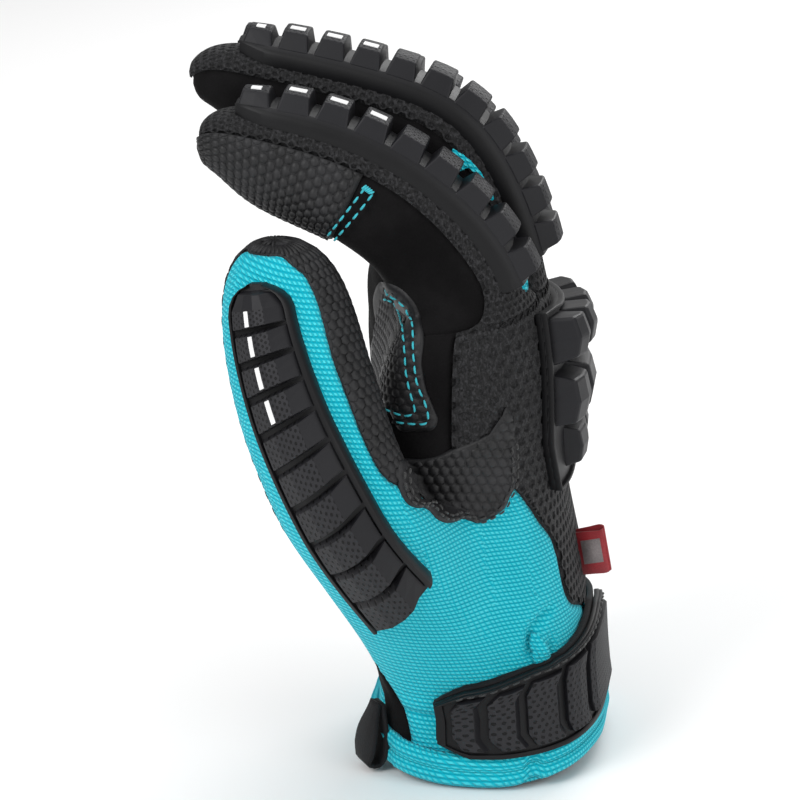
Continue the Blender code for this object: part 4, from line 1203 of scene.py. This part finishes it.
def thumb_strip(skin):
    """The thumb's guard: a raised rim, and slanted steps inside it, dotted with a plain chamfer."""
    length = (thumb_frame(1)[0] - thumb_frame(0)[0]).length
    start, end = THUMB_GUARD_ENDS
    strip = Strip(skin, lambda share: thumb_frame(share, THUMB_GUARD_ROOT_BACK.lerp(THUMB_GUARD_BACK, share)),
                  (start, end), 0.0220, THUMB_GUARD_TAPER, THUMB_GUARD_SKEW, 0.085)
    rim = {1: 0.0026, 0.96: 0.0036, 0.87: 0.0036}
    sections = []
    for t in spread(0, 1, 45):
        if t > 0.85:
            t = 0.85 + 0.15 * math.sin((t - 0.85) / 0.15 * math.pi / 2)
        share = start + (end - start) * t
        crown, section = strip.crown(share), strip.foot(share)
        for x in (1, 0.96, 0.87, 0.83, 0.4, 0, -0.4, -0.83, -0.87, -0.96, -1):
            seat = strip.seat(share, x)
            height = seat + rim[abs(x)] if abs(x) in rim else min(crown - 0.0006, seat + 0.0024)
            section.append(strip.up(share, x, height))
        sections.append(section)
    plate, body, marks = Body(), Body(), Body()
    loft(plate, sections, [EDGE] * 16)
    plate.link("thumb_guard_plate", RUBBERS, "rubber", ["thumb_guard"], bevel=0.0004)
    teeth = 10
    pitch = (end - start - 0.045) / teeth
    places, heights = (-0.80, -0.77, -0.35, 0.05, 0.36, 0.80), (0.0, 0.0022, 0.0032, 0.0034, 0.0031, 0.0002)
    for tooth in range(teeth):
        last = tooth == teeth - 1
        low = start + 0.008 + pitch * tooth
        high = end - 0.018 if last else low + pitch * 0.86
        rows = (low, low + 0.004, (low + high) / 2, high - 0.006, high)
        narrows = (1, 1, 1, 0.96, 0.9) if last else (1,) * 5
        foot, tall = [], []
        for s, narrow, step in zip(rows, narrows, (-0.0030, 0.0, -0.0002, -0.0005, -0.0026)):
            seats, crown = [(x, h, strip.seat(s, x)) for x, h in zip(places, heights)], strip.crown(s)
            foot.append([strip.up(s, x * narrow, min(crown, seat + 0.0010)) for x, _, seat in seats])
            tall.append([strip.up(s, x * narrow, seat + 0.0022 + max(0.0002, h + step)) for x, h, seat in seats])
        first = len(body.faces)
        brick(body, foot, tall, (DOTS, FACE), [[(s * length, x * 0.011) for x in places] for s in rows])
        for r in range(4):
            for c in range(5):
                if c == 4 or (last and r > 1):
                    body.kinds[first + 2 * (r * 5 + c)] = FACE
        if tooth >= teeth - DASHES:
            up = strip.at(rows[2], -0.2)[1]
            shares = ((1, 2, 0.05), (1, 2, 0.5), (1, 2, 1.0)) if last else ((1, 2, 0.12), (1, 2, 0.9), (2, 3, 0.9))
            tops = []
            for a, b, t in shares:
                edges = [(x - places[2]) / (places[3] - places[2]) for x in (-0.27, -0.13)]
                tops.append([tall[a][2].lerp(tall[a][3], e).lerp(tall[b][2].lerp(tall[b][3], e), t) for e in edges])
            brick(marks, *([[p + up * lift for p in row] for row in tops] for lift in (-0.0006, 0.00022)),
                  (PRINT, PRINT))
    body.link("thumb_guard_steps", RUBBERS, "rubber", bevel=0.00035, smooth=False)
    marks.link("thumb_guard_dashes", RUBBERS, "rubber", bevel=0.0001, smooth=False)


def knuckle_block(skin):
    """The moulded guard on the back of the hand: a plate with a rim, and three rows of faceted blocks."""
    left, right, low, high = KNUCKLE_LEFT, KNUCKLE_RIGHT, KNUCKLE_LOW, KNUCKLE_HIGH

    def place(column, height, lift):
        narrow = max(0.0, (0.730 - height) / 0.115) * 0.16
        slope = KNUCKLE_SLOPE * (column - left) / (right - left) * (height - low) / (high - low)
        return skin.over_palm(6 + (column - 6) * (1 - narrow), height - slope, lift)[0]

    body, blocks = Body(), Body()
    columns, heights = spread(left, right, 21), spread(low, high, 15)
    layer(body, place, columns, heights, (GUARD_GAP, GUARD_GAP + GUARD_PLATE), (PLAIN, EDGE))
    rim = [(left, h) for h in heights] + [(c, high) for c in columns]
    rim += [(right, h) for h in reversed(heights)] + [(c, low) for c in reversed(columns)]
    sections = []
    for c, h in rim:
        ic, ih = 6 + (c - 6) * 0.965, 0.80 + (h - 0.80) * 0.965
        sections.append([place(c, h, 0.0016), place(c, h, 0.0036), place(ic, ih, 0.0036), place(ic, ih, 0.0016)])
    loft(body, sections + sections[:1], [EDGE] * 4, ends=False)
    body.link("knuckle_plate", RUBBERS, "rubber", ["knuckle_guard"], bevel=0.0004)
    for ends, bottom, top, tall, lean, ridge in (
        (((1.95, 3.62), (3.93, 5.85), (6.15, 8.07), (8.38, 10.05)), 0.876, 0.972, 0.0078, 0.0012, 0.0007),
        (((1.95, 3.95), (4.10, 7.90), (8.05, 10.05)), 0.755, 0.864, 0.0068, 0.0, 0.0004),
        (((3.3, 5.85), (6.15, 8.7)), 0.640, 0.738, 0.0046, 0.0, 0.0005),
    ):
        for start, end in ends:
            across, inset = spread(start, end, 3), (0.25, 0, -0.25)
            rise, draft = spread(bottom, top, 3), (0.012, 0, -0.012)
            foot = [[place(c, h, GUARD_GAP + 0.0012) for c in across] for h in rise]
            roof = [[place(c + a, h + b, GUARD_GAP + GUARD_PLATE + tall * (1.0 if b == 0 else 0.84)
                           + (ridge if a == 0 else 0)) + Vector((0, 0, lean)) for c, a in zip(across, inset)]
                    for h, b in zip(rise, draft)]
            brick(blocks, foot, roof, (FACE, FACE))
    blocks.link("knuckle_blocks", RUBBERS, "rubber", bevel=0.0007, smooth=False)


def strap(skin):
    """The wrist strap: webbing round the wrist, and on it a plate with a rim, blocks and stitches."""
    def spot(column, up, lift):
        low, high = between(STRAP_EDGES, column), between(STRAP_EDGES, column, 2)
        return skin.over_palm(column, low + (high - low) * up, lift)

    def place(column, up, lift):
        return spot(column, up, lift)[0]

    lift = 0.0003 + STRAP + 0.0002
    for name, node, ends, count, margin, lifts, kinds, looks, slot in (
        ("strap_webbing", "strap_band", (-2.05, 14.0), 81, 0.0, (0.0003, 0.0003 + STRAP), (0, 0), [LOOKS["webbing"]],
         "webbing"),
        ("strap_plate", "strap_pad", (-1.98, 8.0), 61, 0.02, (lift, lift + 0.0014), (EDGE, EDGE), RUBBERS, "rubber"),
    ):
        body = Body()
        ups = (margin, 0.04 + margin, 0.5, 0.96 - margin, 1.0 - margin)
        layer(body, place, spread(*ends, count), ups, lifts, kinds)
        body.link(name, looks, slot, [node], bevel=0.0003)
    rim, blocks, thread = Body(), Body(), Body()
    along, up = spread(-1.95, 7.95, 61), spread(0.03, 0.97, 9)
    for columns, ups in ((along, (0.03, 0.085)), (along, (0.915, 0.97)), ((-1.97, -1.83), up)):
        layer(rim, place, columns, ups, (lift + 0.001, lift + 0.0022))
    rim.link("strap_rim", RUBBERS, "rubber", bevel=0.0004)
    ups = (0.13, 0.27, 0.5, 0.73, 0.87)
    for start, end in ((-1.72, -1.28), (-1.16, -0.42), (-0.26, 0.86), (1.06, 2.50), (2.80, 7.6)):
        long = end > 3
        wide = min(0.22, (end - start) * 0.3)
        shares = spread(0, 1, 13) if long else (0.0, 0.12, 0.45, 0.78, 1.0)
        heights = (0.0026, *[0.0032] * 11, 0.0024) if long else (0.0026, 0.0032, 0.0033, 0.0031, 0.0012)
        columns = [start + (end - start) * share for share in shares]
        low, top = [], []
        for u, shift in zip(ups, (wide, 0.0, 0.0, 0.0, wide)):
            low.append([place(c + shift, u, lift + 0.0008) for c in columns])
            top.append([place(c + shift, u, lift + h) for c, h in zip(columns, heights)])
        first = len(blocks.faces)
        brick(blocks, low, top, (DOTS, FACE), [[(c * 0.0072, u * 0.0185) for c in columns] for u in ups])
        for row in range(0 if long else 4):
            blocks.kinds[first + 2 * (row * 4 + 3)] = FACE
    blocks.link("strap_blocks", RUBBERS, "rubber", bevel=0.0004, smooth=False)
    stitch_row(thread, [spot(c, 0.955, lift + 0.0023) for c in spread(-1.6, 7.8, 90)], 0.0020, 0.0010, 0.00022)
    thread.link("strap_stitches", [LOOKS["black_thread"]], "webbing")


def hem(skin):
    """The turned hem round the cuff's mouth: a rolled double fold, with a notch at the seam."""
    seam = min((k / 10 for k in range(-30, 60)),
               key=lambda c: abs(frame_point(skin.cage.place(c, 0.02)[0])[0] - SEAM_ACROSS))
    fold = ((-0.0014, -0.0026), (0.0006, -0.0038), (0.0020, -0.0030), (0.0024, -0.0012), (0.0022, 0.0003),
            (0.0016, 0.0008), (0.0021, 0.0016), (0.0023, 0.0032), (0.0018, 0.0046), (0.0002, 0.0052),
            (-0.0014, 0.0040))
    body, loops, steps = Body(), [], 150
    for k in range(steps):
        column = COLUMNS * k / steps
        notch = math.exp(-((((column - seam + 15) % 30) - 15) / 0.20) ** 2)
        swell = 1 + 0.07 * math.sin(column * 1.7) - 0.75 * notch
        place, normal = skin.over_palm(column, 0.028)
        place = place + Vector((0, 0, mouth_rise(place.x) * 0.8 + 0.0016 * notch))
        loops.append([body.add(place + normal * out * swell + Vector((0, 0, up))) for out, up in fold])
    u, v = 0.0073 * COLUMNS / steps, 0.0013
    for k, (loop, other) in enumerate(ring_pairs(loops)):
        for c in range(len(fold)):
            j = (c + 1) % len(fold)
            body.face([loop[c], loop[j], other[j], other[c]], 0,
                      [(k * u, c * v), (k * u, (c + 1) * v), ((k + 1) * u, (c + 1) * v), ((k + 1) * u, c * v)])
    body.link("hem_fold", [LOOKS["knit"]], "knit", ["cuff_hem"], fill=0.3)


def tab(skin):
    """The pull tab: a soft folded loop at the mouth, on the palm's side, narrow where it is sewn in."""
    place, normal = skin.cage.place(25.6, 0.155)
    across = Vector((0, 0, 1)).cross(normal).normalized()
    down = across.cross(normal).normalized()
    c, s = math.cos(math.radians(12)), math.sin(math.radians(12))
    down, normal = down * c + normal * s, normal * c - down * s
    bow, thick, run, steps = 0.0016, 0.0011, 0.0155, 10
    base = place + normal * (bow + thick / 2 + 0.0012)
    stations = [(k / steps, -1) for k in range(steps + 1)] + [(1.04, -0.7), (1.06, 0.0), (1.04, 0.7)]
    stations += [((steps - k) / steps, 1) for k in range(steps + 1)]
    line, widths, sections = [], [], []
    for share, face in stations:
        out = bow * face * (0.35 + 0.85 * math.sin(math.pi * min(share, 1.0) * 0.62))
        line.append(base + down * run * share + normal * out)
        tip = 1 - 0.35 * smooth_step((share - 0.78) / 0.3)
        widths.append(0.0058 * (0.45 + 0.55 * smooth_step(share / 0.65)) * tip)
    outline = ((-1, -0.3), (-0.93, -0.5), (0, -0.5), (0.93, -0.5), (1, -0.3))
    outline += tuple((-x, -t) for x, t in outline)
    for k, (point, wide) in enumerate(zip(line, widths)):
        way = (line[min(k + 1, len(line) - 1)] - line[max(k - 1, 0)]).normalized()
        out = way.cross(across).normalized()
        sections.append([point + across * wide * x + out * thick * t for x, t in outline])
    body = Body()
    loft(body, sections)
    body.link("tab_loop", [LOOKS["webbing"]], "webbing", ["pull_tab"], fill=0.1)


def label(skin):
    """The folded red tape at the seam on the back, its face plain."""
    place, normal = skin.over_palm(6.0, 0.405)
    side = Vector((0, 0, 1)).cross(normal).normalized()
    up = normal.cross(side).normalized()
    half, thick, loop = 0.0058, 0.00022, 0.0009
    sections = []
    for share in spread(0, 1, 13):
        out = 0.0078 * math.sin(math.pi * share) ** 0.45
        point = place + normal * (out - 0.0002) + side * loop * math.cos(math.pi * share)
        thin = side if abs(share - 0.5) > 0.12 else normal
        sag = 0.0006 * math.sin(share * 6)
        sections.append([point + up * (half * z + sag) + thin * thick * t
                         for z, t in ((-1, -1), (1, -1), (1, 1), (-1, 1))])
    body, face = Body(), Body()
    loft(body, sections)
    body.link("red_tape", [LOOKS["red"]], "tag", ["tag"], fill=0.1)
    layer(face, lambda out, z, lift: place + normal * out + up * half * z - side * lift,
          (0.0012, 0.0062), (-0.55, 0.55), (loop + 0.0001, loop + 0.0004), (0, 0))
    face.link("tag_face", [LOOKS["grey"]], "tag")


def toward(middle, points, share, stretch=1.0):
    """An outline in the photograph's frame drawn in toward its middle."""
    return [(x + (middle[0] - x) * share, y + (middle[1] - y) * share * stretch) for x, y in points]


def stitches(skin):
    thread, margin = Body(), Body()
    for line in PALM_STITCHES:
        stitch_row(thread, frame_spots(skin, line, 0.0011))
    for line in TIP_STITCHES:
        stitch_row(thread, frame_spots(skin, line, 0.0014))
    for inset in (0.035, 0.115):
        line = toward(SADDLE_MIDDLE, SADDLE[2:22], inset, 1.15)
        stitch_row(margin, frame_spots(skin, line, 0.0015), 0.0017, 0.0009, 0.00026)
    margin.link("saddle_stitches", [LOOKS["black_thread"]], "leather")
    for k in range(7):
        line = [(362 + k * 1.6, 188 + k), (370 + k * 1.2, 182 + k * 2.2)]
        stitch_row(thread, frame_spots(skin, line, 0.0016), 0.0016, 0.0003)
    thread.link("turquoise_stitches", [LOOKS["thread"]], "leather")


def build():
    skin = Skin(Cage(), 3)
    names = [finger[0] for finger in FINGERS]
    panel(skin, "thumb_and_side", "thumb_back", "knit", "thumb_panel", welt=0.0002)
    panel(skin, "little_side", "side", "knit", "side_panel")
    panel(skin, "cuff_knit", "cuff", "knit", "cuff")
    panel(skin, "back", "back", "mesh", "back_panel")
    panel(skin, "palm", "palm", "suede", "palm_panel", ripple=0.0003)
    for name in names:
        panel(skin, name, name, "suede", name + "_sleeve", ripple=0.0003)
    panel(skin, "thumb_leather", "thumb_front", "leather", "thumb_front", welt=0.0004)

    honeycomb(ClothMap(skin, "thumb_front"), 0.0027, dome(0.00038), "thumb_front_cells", "cells", "leather")
    for number, name in enumerate(names):
        strip = ClothMap(skin, "back", lambda k, tube=name: skin.labels[k][0] == tube, wrap=7)
        honeycomb(strip, 0.0021, pit(0.00035), name + "_mesh", "mesh", "mesh")
        finger_strip(skin, number)
    back = ClothMap(skin, "back", lambda k: skin.labels[k][0] == "palm", wrap=20)
    honeycomb(back, 0.0034, pit(0.0005), "back_mesh", "mesh", "mesh")
    thumb_strip(skin)
    knuckle_block(skin)

    tip = ClothMap(skin, "index", lambda k: skin.middle(k)[1] > 6.6, lift=0.0009)
    index_tip(skin)
    honeycomb(tip, 0.0023, dome(0.00045), "index_tip_cells", "cells", "leather")
    patch(skin, "saddle_leather", SADDLE, "leather", ["saddle_patch"])
    cells = FrameMap(skin.tree, smooth_line(toward(SADDLE_MIDDLE, SADDLE, 0.02, 1.5), True))
    honeycomb(cells, 0.0026, dome(0.0004, lift=0.0010), "saddle_cells", "cells", "leather")
    patch(skin, "palm_leather", PALM_PATCH, "leather", ["palm_patch"], thick=0.0008)
    outline = smooth_line(PALM_PATCH, True)
    cells = ClothMap(skin, "palm", lambda k: skin.centre(k).y < 0.02 and inside(
        *frame_point(skin.centre(k)), outline) and skin.facing(k) > -0.1, lift=0.0007)
    honeycomb(cells, 0.0023, dome(0.0003), "palm_cells", "cells", "leather")
    stitches(skin)
    for number, accent in enumerate(ACCENTS):
        patch(skin, "teal_accent_%d" % (number + 1), accent, "knit", thick=0.0006, rings=3)
    patch(skin, "pleat_flap", FLAP, "knit", thick=0.0011, rings=4)
    for make in (strap, hem, tab, label):
        make(skin)


def placed(item, place, back):
    item.location = place
    item.rotation_mode = "QUATERNION"
    item.rotation_quaternion = back.to_track_quat("Z", "Y")
    bpy.context.scene.collection.objects.link(item)


def stage():
    mesh, z, reach = bpy.data.meshes.new("floor"), CAD_BOX[0].z - 0.0006, 6.0
    corners = ((-1, -1), (1, -1), (1, 1), (-1, 1))
    mesh.from_pydata([(x * reach, y * reach, z) for x, y in corners], [], [range(4)])
    floor = bpy.data.objects.new("floor", mesh)
    bpy.context.scene.collection.objects.link(floor)
    pale = bpy.data.materials.new("pale_floor")
    pale.use_nodes = True
    shader = pale.node_tree.nodes["Principled BSDF"]
    shader.inputs["Base Color"].default_value = (0.93, 0.93, 0.93, 1)
    shader.inputs["Roughness"].default_value = 0.9
    mesh.materials.append(pale)
    world = bpy.data.worlds.new("studio")
    world.use_nodes = True
    light, strength = world.node_tree.nodes["Background"].inputs[:2]
    light.default_value, strength.default_value = (1, 1, 1, 1), 0.46
    bpy.context.scene.world = world
    for name, place, power, size in (
        ("key", (-0.55, -0.85, 0.75), 7.5, 0.55),
        ("fill", (0.75, -0.65, 0.45), 3.4, 0.8),
        ("back_rim", (0.25, 0.85, 0.65), 5, 0.6),
        ("top", (0.0, 0.0, 1.1), 3.6, 0.8),
    ):
        light = bpy.data.lights.new(name, "AREA")
        light.energy, light.size = power, size
        placed(bpy.data.objects.new(name, light), place, Vector(place) - Vector((0, 0, 0.09)))
    view = bpy.data.cameras.new("camera")
    view.sensor_width, view.lens = 36, 36 * DISTANCE / FRAME_WIDTH
    view.clip_start, view.clip_end = 0.05, 20
    camera = bpy.data.objects.new("camera", view)
    placed(camera, EYE, BACK)
    bpy.context.scene.camera = camera
    bpy.context.scene.view_settings.view_transform = "Standard"


build()
stage()
